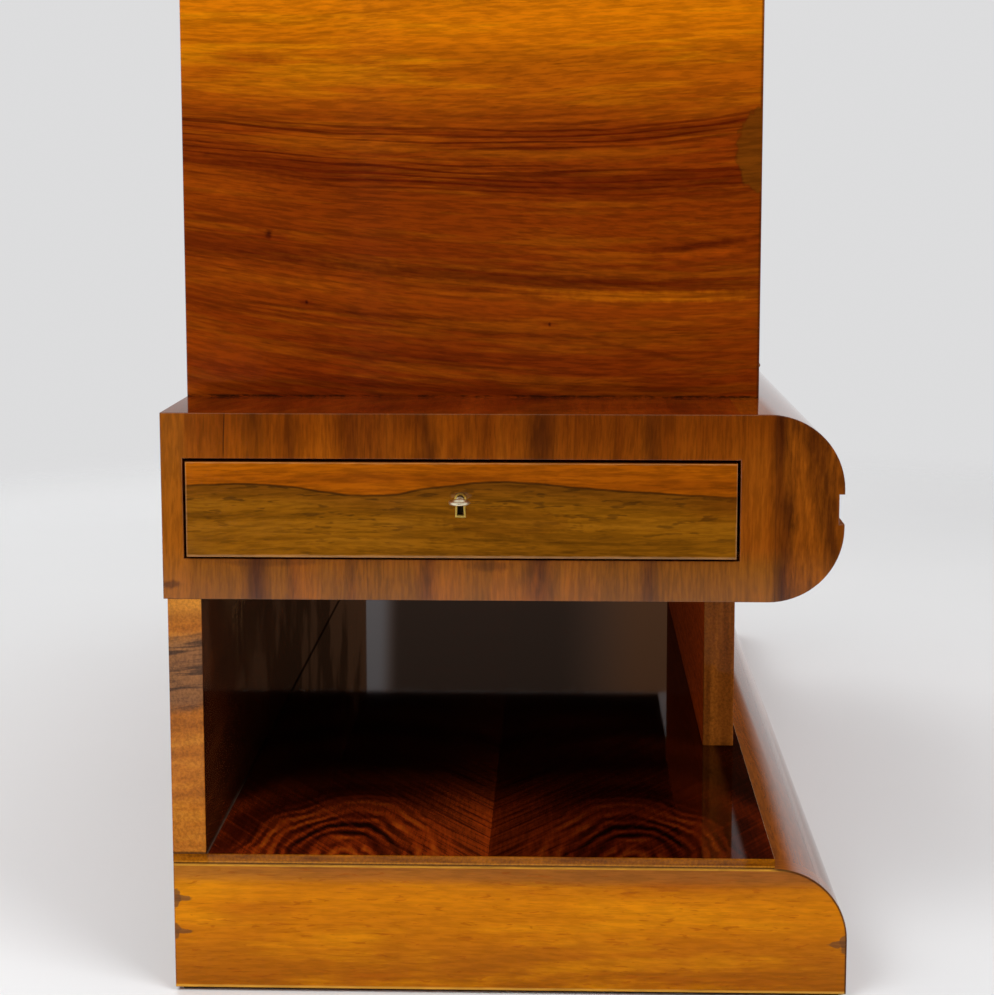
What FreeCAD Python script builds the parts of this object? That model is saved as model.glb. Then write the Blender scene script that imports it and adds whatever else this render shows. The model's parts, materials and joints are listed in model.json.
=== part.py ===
import FreeCAD, Part
import math
import os

# Bar cabinet on a plinth: open shelf, drawer case with a drawer at each end, bar body with a falling flap.
# Millimetres. x runs along the length, the front faces -y, z is up, origin at the bottom centre.

V = FreeCAD.Vector

# Plan of the whole cabinet
CASE_LENGTH = 1110.0        # plinth, shelf and drawer case, end to end
CASE_DEPTH = 500.0          # drawer case, nose to back
PLINTH_FORWARD = 8.0        # plinth front ahead of the nose
PLINTH_INSET = 3.0          # plinth back in from the case back
EASE = 0.8                  # rounding of the edges a hand meets
FIT = 0.05                  # running clearance of a pin in its hole
SLIP = 0.3                  # clearance of a part that slides in a slot

# Foot strips and plinth
FOOT_HEIGHT = 3.0
FOOT_WIDTH = 34.0
FOOT_INSET = 5.0
PLINTH_HEIGHT = 97.0
PLINTH_RADIUS = 55.0        # rounded front edge
PLINTH_WALL = 18.0          # curved front and back rail
PLINTH_END = 20.0           # end boards
PLINTH_FLANGE = 40.0        # curved front carried back under the shelf board
BRACE_THICKNESS = 20.0
BLOCK_LEG = 36.0            # glue blocks in the corners
BLOCK_HEIGHT = 28.0

# Open shelf
SHELF_BOARD = 7.5
SHELF_SETBACK = 54.5        # shelf board behind the plinth front
TIER_HEIGHT = 195.0
TIER_BACK = 25.0            # lower back panel
TIER_FRONT = 27.0           # short lower front panel
TIER_FRONT_LENGTH = 566.0

# Drawer case
FLOOR_BOARD = 30.5
MOUTH_HEIGHT = 74.5         # clear opening for a drawer
ROOF_BOARD = 33.5
CASE_BACK = 16.0
NOSE_DEPTH = 76.0
NOSE_RADIUS = 55.0
GROOVE_HEIGHT = 22.0        # groove along the nose
GROOVE_DEPTH = 4.0
FACING = 3.0                # crossbanded facing on each end
BULKHEAD = 18.0
BULKHEAD_X = 80.0           # outer face of each bulkhead from the middle

# Drawers
DRAWER_GAP = 2.3            # round the drawer front
DRAWER_PROUD = 2.0
DRAWER_FRONT = 20.0
DRAWER_SIDE = 10.0
DRAWER_SIDE_HEIGHT = 57.0
DRAWER_BACK = 10.0
DRAWER_BOTTOM = 4.0
DRAWER_BOTTOM_UP = 7.0      # groove above the lower edge
GROOVE_IN_SIDE = 4.0
DRAWER_STOP = 12.0          # stop block between drawer and bulkhead
TAIL_LENGTH = 13.0          # lapped dovetails at the drawer front
TAIL_COUNT = 3
TAIL_SLOPE = 0.16
RUNNER_HEIGHT = 2.8
RUNNER_WIDTH = 18.0

# Bar body
BAR_SETBACK = 100.0         # in from the ends of the drawer case
NOSE_LEDGE = 53.0           # case top left clear in front of the bar
BAR_HEIGHT = 469.0
BAR_SIDE = 22.0
BAR_FLOOR = 21.0
BAR_TOP = 28.0
TOP_RADIUS = 10.0           # rounded upper edge of the top
BAR_BACK = 6.0
BACK_RECESS = 2.0
REBATE = 10.0
MIRROR = 4.0
MIRROR_MARGIN = 12.0
GLASS = 8.0
GLASS_DEPTH = 230.0
GLASS_RISE = 285.0          # bottles stand below
GLASS_END_GAP = 1.5
PIN_RADIUS = 3.0
PIN_OUT = 12.0
PIN_IN = 10.0

# Falling flap with its long hinge
FLAP = 22.0
FLAP_PROUD = 2.0
FLAP_SIDE_GAP = 1.5
FLAP_TOP_GAP = 2.0
STOP_BEAD = 14.0
AXIS_FORWARD = 1.0          # hinge axis ahead of the bar front
BARREL_RADIUS = 2.2
BARREL_GAP = 4.5            # between bar floor and flap
HINGE_PIN_RADIUS = 1.2
LEAF = 1.0
LEAF_WIDTH = 18.0
KNUCKLES = 7

# Slotted stays, one at each end of the flap
STAY_REACH = 185.0          # pivot and stud both stand this far from the hinge axis
STAY_FOLD = 34.0            # degrees between them with the flap shut
STAY_SWING = 90.0           # degrees the flap falls
STAY_BAR = 2.5
STAY_WIDTH = 13.0
STAY_OFF_SIDE = 3.5
STUD_RADIUS = 2.5
STUD_HEAD = 5.0
BRACKET = 2.0
BRACKET_FOOT = 34.0
BRACKET_WIDTH = 18.0
BRACKET_STANDOFF = 11.0     # pivot behind the flap's inner face

# Locks and keys
LOCK_DROP = 26.5            # key axis below the board's upper edge
LOCK_WIDTH = 42.0
LOCK_DEPTH = 10.0
LOCK_BELOW = 15.0
LOCK_WALL = 1.4
BOLT_WIDTH = 16.0
BOLT_THICK = 4.5
BOLT_LOW = 6.5              # lower edge above the key axis
BOLT_THROW = 7.0
KEEPER_ROOM = 2.0           # above the thrown bolt
KEYHOLE_RADIUS = 2.9
KEYHOLE_DROP = 12.2
KEYHOLE_NECK = 2.0          # half width of the slot at its top
KEYHOLE_FOOT = 2.5          # half width at its foot
ESCUTCHEON_WALL = 1.4
ESCUTCHEON_DEPTH = 5.0
ESCUTCHEON_PROUD = 0.4
KEY_RADIUS = 2.2
KEY_STEM = 7.5              # stem outside the board
KEY_BIT = 7.0
BOW_RADIUS = 8.0
BOW_HOLE = 4.6
BOW_THICK = 3.2
BOW_SIDES = 14
BOW_SEAT = 1.0              # stem let into the bow
DRILL_PIN = 1.1
DRILL_LEAD = 2.0            # key bore ahead of the lock

# Levels and planes that follow from the sizes above
X_END = CASE_LENGTH / 2
Y_BACK = (CASE_DEPTH + PLINTH_FORWARD) / 2
Y_FRONT = -Y_BACK
Y_PLINTH_BACK = Y_BACK - PLINTH_INSET
Y_SHELF = Y_FRONT + SHELF_SETBACK
Y_NOSE = Y_BACK - CASE_DEPTH
Y_MOUTH = Y_NOSE + NOSE_DEPTH
Y_CASE_BACK = Y_BACK - CASE_BACK
Y_BAR = Y_NOSE + NOSE_LEDGE
Y_FLAP = Y_BAR - FLAP_PROUD
Y_FLAP_IN = Y_FLAP + FLAP
Y_PANEL = Y_BACK - BACK_RECESS - BAR_BACK
Y_MIRROR = Y_PANEL - MIRROR

Z_PLINTH = FOOT_HEIGHT
Z_SHELF = Z_PLINTH + PLINTH_HEIGHT
Z_TIER = Z_SHELF + SHELF_BOARD
Z_CASE = Z_TIER + TIER_HEIGHT
Z_MOUTH = Z_CASE + FLOOR_BOARD
Z_ROOF = Z_MOUTH + MOUTH_HEIGHT
Z_BAR = Z_ROOF + ROOF_BOARD
Z_BAR_FLOOR = Z_BAR + BAR_FLOOR
Z_TOP = Z_BAR + BAR_HEIGHT
Z_CEILING = Z_TOP - BAR_TOP
Z_FLAP = Z_BAR_FLOOR + BARREL_GAP
Z_FLAP_TOP = Z_CEILING - FLAP_TOP_GAP
Z_GLASS = Z_BAR_FLOOR + GLASS_RISE

X_FACING = X_END - FACING
X_BAR = X_END - BAR_SETBACK
X_BAR_IN = X_BAR - BAR_SIDE
X_FLAP = X_BAR_IN - FLAP_SIDE_GAP
X_DRAWER = -X_END - DRAWER_PROUD
X_DRAWER_IN = X_DRAWER + DRAWER_FRONT
X_DRAWER_END = -BULKHEAD_X - DRAWER_STOP
Y_DRAWER = Y_MOUTH + DRAWER_GAP
Y_DRAWER_BACK = Y_CASE_BACK - DRAWER_GAP
Z_DRAWER = Z_MOUTH + RUNNER_HEIGHT
Z_DRAWER_TOP = Z_ROOF - DRAWER_GAP

HINGE_AXIS = V(0, Y_BAR - AXIS_FORWARD, Z_BAR_FLOOR + BARREL_GAP / 2)


def box(x, y, z):
    return Part.makeBox(x[1] - x[0], y[1] - y[0], z[1] - z[0], V(x[0], y[0], z[0]))


def rod(start, axis, radius, length):
    return Part.makeCylinder(radius, length, start, axis)


def eased(shape, radius, wanted):
    """The shape with the edges picked by wanted(middle point) rounded."""
    edges = [e for e in shape.Edges if wanted(e.CenterOfMass)]
    return shape.makeFillet(radius, edges)


def near(a, b):
    return abs(a - b) < 1e-4


def corner_arc(centre, radius, toward):
    """Quarter arc in the yz plane, from straight ahead of the centre to straight above or below it."""
    half = radius * math.sqrt(0.5)
    ahead = centre + V(0, -radius, 0)
    middle = centre + V(0, -half, toward * half)
    end = centre + V(0, 0, toward * radius)
    return Part.Arc(ahead, middle, end).toShape()


def prism(edges_or_points, x):
    """A closed yz outline, given at x = 0, carried along x."""
    first = edges_or_points[0]
    if isinstance(first, FreeCAD.Vector):
        wire = Part.makePolygon(edges_or_points + [first])
    else:
        wire = Part.Wire(Part.__sortEdges__(edges_or_points))
    wire.translate(V(x[0], 0, 0))
    return Part.Face(wire).extrude(V(x[1] - x[0], 0, 0))


def chain(points):
    return [Part.makeLine(a, b) for a, b in zip(points, points[1:])]


def mirrored(shape):
    return shape.mirror(V(0, 0, 0), V(1, 0, 0))


def save(name, *solids):
    shape = solids[0] if len(solids) == 1 else Part.makeCompound(list(solids))
    shape.exportStep("parts/" + name + ".step")


def save_pair(name, *solids):
    save(name + "_left", *solids)
    save(name + "_right", *[mirrored(s) for s in solids])


def foot_strips():
    """Two long strips and two short ones between them, set in from the plinth's outline."""
    x = X_END - FOOT_INSET
    front = Y_FRONT + FOOT_INSET
    back = Y_PLINTH_BACK - FOOT_INSET
    z = (0, FOOT_HEIGHT)
    long_strips = [
        box((-x, x), (front, front + FOOT_WIDTH), z),
        box((-x, x), (back - FOOT_WIDTH, back), z),
    ]
    between = (front + FOOT_WIDTH, back - FOOT_WIDTH)
    short = box((-x, -x + FOOT_WIDTH), between, z)
    return long_strips + [short, mirrored(short)]


def plinth_end():
    centre = V(0, Y_FRONT + PLINTH_RADIUS, Z_SHELF - PLINTH_RADIUS)
    outline = [corner_arc(centre, PLINTH_RADIUS, 1)] + chain([
        centre + V(0, 0, PLINTH_RADIUS),
        V(0, Y_PLINTH_BACK, Z_SHELF),
        V(0, Y_PLINTH_BACK, Z_PLINTH),
        V(0, Y_FRONT, Z_PLINTH),
        centre + V(0, -PLINTH_RADIUS, 0),
    ])
    return prism(outline, (-X_END, -X_END + PLINTH_END))


def plinth_front():
    """Bent front rail: upright, rounded over, then a flange under the shelf board."""
    centre = V(0, Y_FRONT + PLINTH_RADIUS, Z_SHELF - PLINTH_RADIUS)
    inner = PLINTH_RADIUS - PLINTH_WALL
    flange = Y_SHELF + PLINTH_FLANGE
    outline = [corner_arc(centre, PLINTH_RADIUS, 1), corner_arc(centre, inner, 1)]
    outline += chain([
        centre + V(0, 0, PLINTH_RADIUS),
        V(0, flange, Z_SHELF),
        V(0, flange, Z_SHELF - PLINTH_WALL),
        centre + V(0, 0, inner),
    ])
    outline += chain([
        centre + V(0, -PLINTH_RADIUS, 0),
        V(0, Y_FRONT, Z_PLINTH),
        V(0, Y_FRONT + PLINTH_WALL, Z_PLINTH),
        centre + V(0, -inner, 0),
    ])
    return prism(outline, (-X_END + PLINTH_END, X_END - PLINTH_END))


def plinth_back():
    x = X_END - PLINTH_END
    return box((-x, x), (Y_PLINTH_BACK - PLINTH_WALL, Y_PLINTH_BACK), (Z_PLINTH, Z_SHELF))


def plinth_braces():
    """Cross members under the ends of the lower front panel, cut round the curved front."""
    inner = PLINTH_RADIUS - PLINTH_WALL
    front = Y_FRONT + PLINTH_WALL
    back = Y_PLINTH_BACK - PLINTH_WALL
    flange = Y_SHELF + PLINTH_FLANGE
    outline = [
        V(0, front, Z_PLINTH),
        V(0, back, Z_PLINTH),
        V(0, back, Z_SHELF),
        V(0, flange, Z_SHELF),
        V(0, flange, Z_SHELF - PLINTH_WALL),
        V(0, front + inner, Z_SHELF - PLINTH_WALL),
        V(0, front, Z_SHELF - PLINTH_RADIUS),
    ]
    outer = -TIER_FRONT_LENGTH / 2
    brace = prism(outline, (outer, outer + BRACE_THICKNESS))
    return [brace, mirrored(brace)]


def corner_blocks():
    x = -X_END + PLINTH_END
    blocks = []
    for y, into in ((Y_FRONT + PLINTH_WALL, 1), (Y_PLINTH_BACK - PLINTH_WALL, -1)):
        corner = V(x, y, Z_PLINTH)
        points = [corner, corner + V(BLOCK_LEG, 0, 0), corner + V(0, into * BLOCK_LEG, 0), corner]
        block = Part.Face(Part.makePolygon(points)).extrude(V(0, 0, BLOCK_HEIGHT))
        blocks += [block, mirrored(block)]
    return blocks


def shelf_board():
    board = box((-X_END, X_END), (Y_SHELF, Y_PLINTH_BACK), (Z_SHELF, Z_TIER))
    return eased(board, EASE, lambda p: near(p.z, Z_TIER))


def tier_back():
    board = box((-X_END, X_END), (Y_PLINTH_BACK - TIER_BACK, Y_PLINTH_BACK), (Z_TIER, Z_CASE))
    return eased(board, EASE, lambda p: near(abs(p.x), X_END) and near(p.z, (Z_TIER + Z_CASE) / 2))


def tier_front():
    half = TIER_FRONT_LENGTH / 2
    board = box((-half, half), (Y_BAR, Y_BAR + TIER_FRONT), (Z_TIER, Z_CASE))
    return eased(board, EASE, lambda p: near(abs(p.x), half) and near(p.z, (Z_TIER + Z_CASE) / 2))


def case_section(x):
    """Full end outline of the drawer case, rounded at the nose."""
    low = V(0, Y_NOSE + NOSE_RADIUS, Z_CASE + NOSE_RADIUS)
    high = V(0, Y_NOSE + NOSE_RADIUS, Z_BAR - NOSE_RADIUS)
    outline = [corner_arc(low, NOSE_RADIUS, -1), corner_arc(high, NOSE_RADIUS, 1)]
    outline += chain([low + V(0, -NOSE_RADIUS, 0), high + V(0, -NOSE_RADIUS, 0)])
    outline += chain([
        high + V(0, 0, NOSE_RADIUS),
        V(0, Y_BACK, Z_BAR),
        V(0, Y_BACK, Z_CASE),
        low + V(0, 0, -NOSE_RADIUS),
    ])
    return prism(outline, x)


def nose_groove():
    middle = (Z_CASE + Z_BAR) / 2
    z = (middle - GROOVE_HEIGHT / 2, middle + GROOVE_HEIGHT / 2)
    return box((-X_END, X_END), (Y_NOSE - GROOVE_DEPTH, Y_NOSE + GROOVE_DEPTH), z)


def case_nose():
    x = (-X_FACING, X_FACING)
    behind = box(x, (Y_MOUTH, Y_BACK), (Z_CASE, Z_BAR))
    return case_section(x).cut(behind).cut(nose_groove())


def case_facing():
    facing = case_section((-X_END, -X_FACING))
    mouth = box((-X_END, -X_FACING), (Y_MOUTH, Y_CASE_BACK), (Z_MOUTH, Z_ROOF))
    return facing.cut(mouth).cut(nose_groove())


def case_boards():
    x = (-X_FACING, X_FACING)
    floor = box(x, (Y_MOUTH, Y_BACK), (Z_CASE, Z_MOUTH))
    roof = box(x, (Y_MOUTH, Y_BACK), (Z_ROOF, Z_BAR))
    back = box(x, (Y_CASE_BACK, Y_BACK), (Z_MOUTH, Z_ROOF))
    return floor, roof, back


def bulkheads():
    board = box((-BULKHEAD_X, -BULKHEAD_X + BULKHEAD), (Y_MOUTH, Y_CASE_BACK), (Z_MOUTH, Z_ROOF))
    return [board, mirrored(board)]


def runners():
    """Strips that the drawer sides slide on, along both walls of each drawer opening."""
    x = (-X_FACING + DRAWER_FRONT, -BULKHEAD_X)
    z = (Z_MOUTH, Z_DRAWER)
    front = box(x, (Y_MOUTH, Y_MOUTH + RUNNER_WIDTH), z)
    back = box(x, (Y_CASE_BACK - RUNNER_WIDTH, Y_CASE_BACK), z)
    return [front, back, mirrored(front), mirrored(back)]


def drawer_stops():
    """Blocks on the bulkheads that the shut drawers come to rest on."""
    middle = (Y_MOUTH + Y_CASE_BACK) / 2
    width = DRAWER_STOP * 4
    z = (Z_MOUTH + DRAWER_BOTTOM_UP * 3, Z_MOUTH + DRAWER_BOTTOM_UP * 3 + DRAWER_STOP * 2)
    block = box((X_DRAWER_END, -BULKHEAD_X), (middle - width / 2, middle + width / 2), z)
    return [block, mirrored(block)]


def keyhole(grow, y):
    """Round hole with a flared slot below it, carried from y[0] to y[1]; key axis along y at the origin."""
    radius = KEYHOLE_RADIUS + grow
    neck = KEYHOLE_NECK + grow
    foot = KEYHOLE_FOOT + grow
    drop = KEYHOLE_DROP + grow
    points = [
        V(-neck, y[0], 0),
        V(neck, y[0], 0),
        V(foot, y[0], -drop),
        V(-foot, y[0], -drop),
        V(-neck, y[0], 0),
    ]
    slot = Part.Face(Part.makePolygon(points)).extrude(V(0, y[1] - y[0], 0))
    return rod(V(0, y[0], 0), V(0, 1, 0), radius, y[1] - y[0]).fuse(slot).removeSplitter()


def bow_plate(radius, y):
    """Many-sided flat disc of a key bow, centred at this y on the key axis."""
    turns = [2 * math.pi * i / BOW_SIDES for i in range(BOW_SIDES)]
    points = [V(radius * math.cos(t), y + radius * math.sin(t), -BOW_THICK / 2) for t in turns]
    return Part.Face(Part.makePolygon(points + points[:1])).extrude(V(0, 0, BOW_THICK))


def lock_set(board):
    """Lock let into the back of a board of this thickness: front face at y = 0, key axis at the origin."""
    inner = (board - LOCK_DEPTH, board)
    case_box = box((-LOCK_WIDTH / 2, LOCK_WIDTH / 2), inner, (-LOCK_BELOW, LOCK_DROP))
    hollow_y = (inner[0] + LOCK_WALL, inner[1] - LOCK_WALL)
    hollow = box(
        (-LOCK_WIDTH / 2 + LOCK_WALL, LOCK_WIDTH / 2 - LOCK_WALL),
        hollow_y,
        (-LOCK_BELOW + LOCK_WALL, LOCK_DROP - LOCK_WALL),
    )
    middle = (hollow_y[0] + hollow_y[1]) / 2
    half_slot = BOLT_WIDTH / 2 + SLIP
    slot = box(
        (-half_slot, half_slot),
        (middle - BOLT_THICK / 2 - SLIP, middle + BOLT_THICK / 2 + SLIP),
        (LOCK_DROP - LOCK_WALL, LOCK_DROP),
    )
    pin = rod(V(0, hollow_y[0], 0), V(0, 1, 0), DRILL_PIN, hollow_y[1] - hollow_y[0])
    case = case_box.cut(hollow).cut(slot).cut(keyhole(0, (inner[0], hollow_y[0]))).fuse(pin)

    recess = keyhole(ESCUTCHEON_WALL + FIT, (0, ESCUTCHEON_DEPTH))
    opening = keyhole(0, (ESCUTCHEON_DEPTH, inner[0]))
    escutcheon = keyhole(ESCUTCHEON_WALL, (-ESCUTCHEON_PROUD, ESCUTCHEON_DEPTH))
    escutcheon = escutcheon.cut(keyhole(0, (-ESCUTCHEON_PROUD, ESCUTCHEON_DEPTH)))

    bolt = box(
        (-BOLT_WIDTH / 2, BOLT_WIDTH / 2),
        (middle - BOLT_THICK / 2, middle + BOLT_THICK / 2),
        (BOLT_LOW, LOCK_DROP - SLIP),
    )

    tip = hollow_y[1] - SLIP
    stem = rod(V(0, -KEY_STEM, 0), V(0, 1, 0), KEY_RADIUS, KEY_STEM + tip)
    bit = box(
        (0, KEY_BIT),
        (hollow_y[0] + 2 * SLIP, tip),
        (-KEY_RADIUS * 0.4, KEY_RADIUS * 0.4),
    )
    bow_middle = BOW_SEAT - KEY_STEM - BOW_RADIUS
    bow = bow_plate(BOW_RADIUS, bow_middle).cut(bow_plate(BOW_HOLE, bow_middle))
    bore = rod(V(0, inner[0] - DRILL_LEAD, 0), V(0, 1, 0), DRILL_PIN + FIT, board)
    key = stem.fuse([bit, bow]).cut(bore).removeSplitter()
    return {
        "cut": [case_box, recess, opening],
        "case": case,
        "escutcheon": escutcheon,
        "bolt": bolt,
        "key": key,
        "middle": middle,
    }


def keeper(lock, gap):
    """Mortise above the board's upper edge that the thrown bolt enters."""
    half = BOLT_WIDTH / 2 + 2 * SLIP
    thick = BOLT_THICK / 2 + 2 * SLIP
    return box(
        (-half, half),
        (lock["middle"] - thick, lock["middle"] + thick),
        (LOCK_DROP + gap, LOCK_DROP + BOLT_THROW + KEEPER_ROOM),
    )


def at_drawer(shape):
    """A lock piece turned to face the left end and set in the drawer front."""
    turned = shape.rotated(V(0, 0, 0), V(0, 0, 1), -90)
    return turned.translated(V(X_DRAWER, (Y_DRAWER + Y_DRAWER_BACK) / 2, Z_DRAWER_TOP - LOCK_DROP))


def at_flap(shape):
    return shape.translated(V(0, Y_FLAP, Z_FLAP_TOP - LOCK_DROP))


def tails(y):
    """Dovetails on the end of one drawer side, lapped into the drawer front."""
    pitch = DRAWER_SIDE_HEIGHT / TAIL_COUNT
    root = pitch * 0.28
    tip = root + TAIL_LENGTH * TAIL_SLOPE
    shapes = []
    for i in range(TAIL_COUNT):
        z = Z_DRAWER + pitch * (i + 0.5)
        points = [
            V(X_DRAWER_IN, y[0], z - root),
            V(X_DRAWER_IN, y[0], z + root),
            V(X_DRAWER_IN - TAIL_LENGTH, y[0], z + tip),
            V(X_DRAWER_IN - TAIL_LENGTH, y[0], z - tip),
            V(X_DRAWER_IN, y[0], z - root),
        ]
        shapes.append(Part.Face(Part.makePolygon(points)).extrude(V(0, y[1] - y[0], 0)))
    return shapes


def drawer(lock):
    """Left drawer: front, two dovetailed sides, back, and a bottom held in grooves."""
    rows = ((Y_DRAWER, Y_DRAWER + DRAWER_SIDE), (Y_DRAWER_BACK - DRAWER_SIDE, Y_DRAWER_BACK))
    z_side = (Z_DRAWER, Z_DRAWER + DRAWER_SIDE_HEIGHT)
    z_bottom = (Z_DRAWER + DRAWER_BOTTOM_UP, Z_DRAWER + DRAWER_BOTTOM_UP + DRAWER_BOTTOM)
    inner_y = (rows[0][1], rows[1][0])
    bottom = box(
        (X_DRAWER_IN - GROOVE_IN_SIDE, X_DRAWER_END),
        (inner_y[0] - GROOVE_IN_SIDE, inner_y[1] + GROOVE_IN_SIDE),
        z_bottom,
    )
    front = box((X_DRAWER, X_DRAWER_IN), (Y_DRAWER, Y_DRAWER_BACK), (Z_DRAWER, Z_DRAWER_TOP))
    front = eased(front, EASE, lambda p: near(p.x, X_DRAWER))
    front = front.cut(bottom)
    sides = []
    for y in rows:
        lapped = tails(y)
        front = front.cut(lapped)
        side = box((X_DRAWER_IN, X_DRAWER_END), y, z_side).fuse(lapped).cut(bottom)
        sides.append(side.removeSplitter())
    front = front.cut([at_drawer(c) for c in lock["cut"]])
    back = box((X_DRAWER_END - DRAWER_BACK, X_DRAWER_END), inner_y, (z_bottom[1], z_side[1]))
    return front, sides, back, bottom


def bar_floor():
    return box((-X_BAR_IN, X_BAR_IN), (Y_BAR, Y_PANEL), (Z_BAR, Z_BAR_FLOOR))


def bar_side():
    side = box((-X_BAR, -X_BAR_IN), (Y_BAR, Y_BACK), (Z_BAR, Z_CEILING))
    middle = (Z_BAR + Z_CEILING) / 2
    side = eased(side, EASE, lambda p: near(p.z, middle) and (near(p.y, Y_BAR) or near(p.x, -X_BAR)))
    rebate = box((-X_BAR_IN - REBATE, -X_BAR_IN), (Y_PANEL, Y_BACK), (Z_BAR, Z_CEILING))
    holes = [rod(V(-X_BAR_IN - PIN_IN, y, z), V(1, 0, 0), PIN_RADIUS, PIN_IN) for y, z in pin_places()]
    stud = rod(stud_place() + V(-X_BAR_IN - PIN_IN, 0, 0), V(1, 0, 0), STUD_RADIUS, PIN_IN)
    return side.cut([rebate, stud] + holes)


def bar_top():
    """Top over the sides, with its upper edge rounded on the ends and front."""
    top = box((-X_BAR, X_BAR), (Y_BAR, Y_BACK), (Z_CEILING, Z_TOP))
    top = eased(top, TOP_RADIUS, lambda p: near(p.z, Z_TOP) and not near(p.y, Y_BACK))
    x = X_BAR_IN + REBATE
    rebate = box((-x, x), (Y_PANEL, Y_BACK), (Z_CEILING, Z_CEILING + REBATE))
    return top.cut(rebate)


def bar_back():
    x = X_BAR_IN + REBATE
    return box((-x, x), (Y_PANEL, Y_PANEL + BAR_BACK), (Z_BAR, Z_CEILING + REBATE))


def mirror_glass():
    x = X_BAR_IN - MIRROR_MARGIN
    z = (Z_BAR_FLOOR + MIRROR_MARGIN, Z_CEILING - MIRROR_MARGIN)
    return box((-x, x), (Y_MIRROR, Y_PANEL), z)


def mirror_beads():
    """Frame of four beads round the mirror, holding it to the back."""
    x, low, high = X_BAR_IN, Z_BAR_FLOOR, Z_CEILING
    y = (Y_MIRROR, Y_PANEL)
    across = [
        box((-x, x), y, (low, low + MIRROR_MARGIN)),
        box((-x, x), y, (high - MIRROR_MARGIN, high)),
    ]
    upright = box((-x, -x + MIRROR_MARGIN), y, (low + MIRROR_MARGIN, high - MIRROR_MARGIN))
    lips = []
    lip_y = (Y_MIRROR - MIRROR, Y_MIRROR)
    for z in ((low, low + MIRROR_MARGIN + MIRROR), (high - MIRROR_MARGIN - MIRROR, high)):
        lips.append(box((-x, x), lip_y, z))
    lip = box(
        (-x, -x + MIRROR_MARGIN + MIRROR),
        lip_y,
        (low + MIRROR_MARGIN + MIRROR, high - MIRROR_MARGIN - MIRROR),
    )
    uprights = [upright.fuse(lip).removeSplitter()]
    uprights.append(mirrored(uprights[0]))
    return [a.fuse(b).removeSplitter() for a, b in zip(across, lips)] + uprights


def glass_shelf():
    x = X_BAR_IN - GLASS_END_GAP
    back = Y_MIRROR - 2 * MIRROR
    pane = box((-x, x), (back - GLASS_DEPTH, back), (Z_GLASS, Z_GLASS + GLASS))
    return eased(pane, EASE, lambda p: near(p.y, back - GLASS_DEPTH))


def pin_places():
    back = Y_MIRROR - 2 * MIRROR
    return [(back - GLASS_DEPTH * share, Z_GLASS - PIN_RADIUS) for share in (0.15, 0.85)]


def shelf_pins():
    """Brass pins in the sides; the glass shelf lies on them."""
    pins = []
    for y, z in pin_places():
        pin = rod(V(-X_BAR_IN - PIN_IN, y, z), V(1, 0, 0), PIN_RADIUS, PIN_IN + PIN_OUT)
        pins += [pin, mirrored(pin)]
    return pins


def flap_stop():
    """Bead under the top, just behind the shut flap."""
    y = (Y_FLAP_IN + SLIP, Y_FLAP_IN + SLIP + STOP_BEAD)
    return box((-X_BAR_IN, X_BAR_IN), y, (Z_CEILING - STOP_BEAD, Z_CEILING))


def flap_panel(lock):
    panel = box((-X_FLAP, X_FLAP), (Y_FLAP, Y_FLAP_IN), (Z_FLAP, Z_FLAP_TOP))
    panel = eased(panel, EASE, lambda p: near(p.y, Y_FLAP))
    return panel.cut([at_flap(c) for c in lock["cut"]])


def knuckle_spans(first):
    """Every second knuckle along the hinge, starting with this one."""
    pitch = 2 * X_FLAP / KNUCKLES
    return [(-X_FLAP + pitch * i, -X_FLAP + pitch * (i + 1)) for i in range(first, KNUCKLES, 2)]


def hinge_leaf(side):
    """One leaf with its knuckles: side -1 on the bar floor, 1 under the flap."""
    own = knuckle_spans(0 if side < 0 else 1)
    others = knuckle_spans(1 if side < 0 else 0)
    flat = sorted([HINGE_AXIS.z + side * (BARREL_GAP / 2 - LEAF), HINGE_AXIS.z + side * BARREL_GAP / 2])
    plate = box((-X_FLAP, X_FLAP), (HINGE_AXIS.y, HINGE_AXIS.y + LEAF_WIDTH), flat)
    along = V(1, 0, 0)
    notch_y = (HINGE_AXIS.y, HINGE_AXIS.y + BARREL_RADIUS + SLIP)
    clear = [box((a - SLIP, b + SLIP), notch_y, flat) for a, b in others]
    barrels = [
        rod(V(a + SLIP, HINGE_AXIS.y, HINGE_AXIS.z), along, BARREL_RADIUS, b - a - 2 * SLIP)
        for a, b in own
    ]
    bore = rod(V(-X_FLAP, HINGE_AXIS.y, HINGE_AXIS.z), along, HINGE_PIN_RADIUS + FIT, 2 * X_FLAP)
    return plate.cut(clear).fuse(barrels).cut(bore).removeSplitter()


def hinge_pin():
    return rod(V(-X_FLAP, HINGE_AXIS.y, HINGE_AXIS.z), V(1, 0, 0), HINGE_PIN_RADIUS, 2 * X_FLAP)


def stay_pivot_place():
    """Pivot on the flap, STAY_REACH from the hinge axis."""
    y = Y_FLAP_IN + BRACKET_STANDOFF
    off = y - HINGE_AXIS.y
    return V(0, y, HINGE_AXIS.z + math.sqrt(STAY_REACH ** 2 - off ** 2))


def stud_place():
    """Stud on the side, as far from the hinge axis as the pivot: the stay turns half as far as the flap."""
    pivot = stay_pivot_place() - HINGE_AXIS
    turned = math.atan2(pivot.y, pivot.z) + math.radians(STAY_FOLD)
    return HINGE_AXIS + V(0, math.sin(turned), math.cos(turned)) * STAY_REACH


def stay_plane():
    outer = X_BAR_IN - STAY_OFF_SIDE
    return (-outer, -outer + STAY_BAR)


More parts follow.
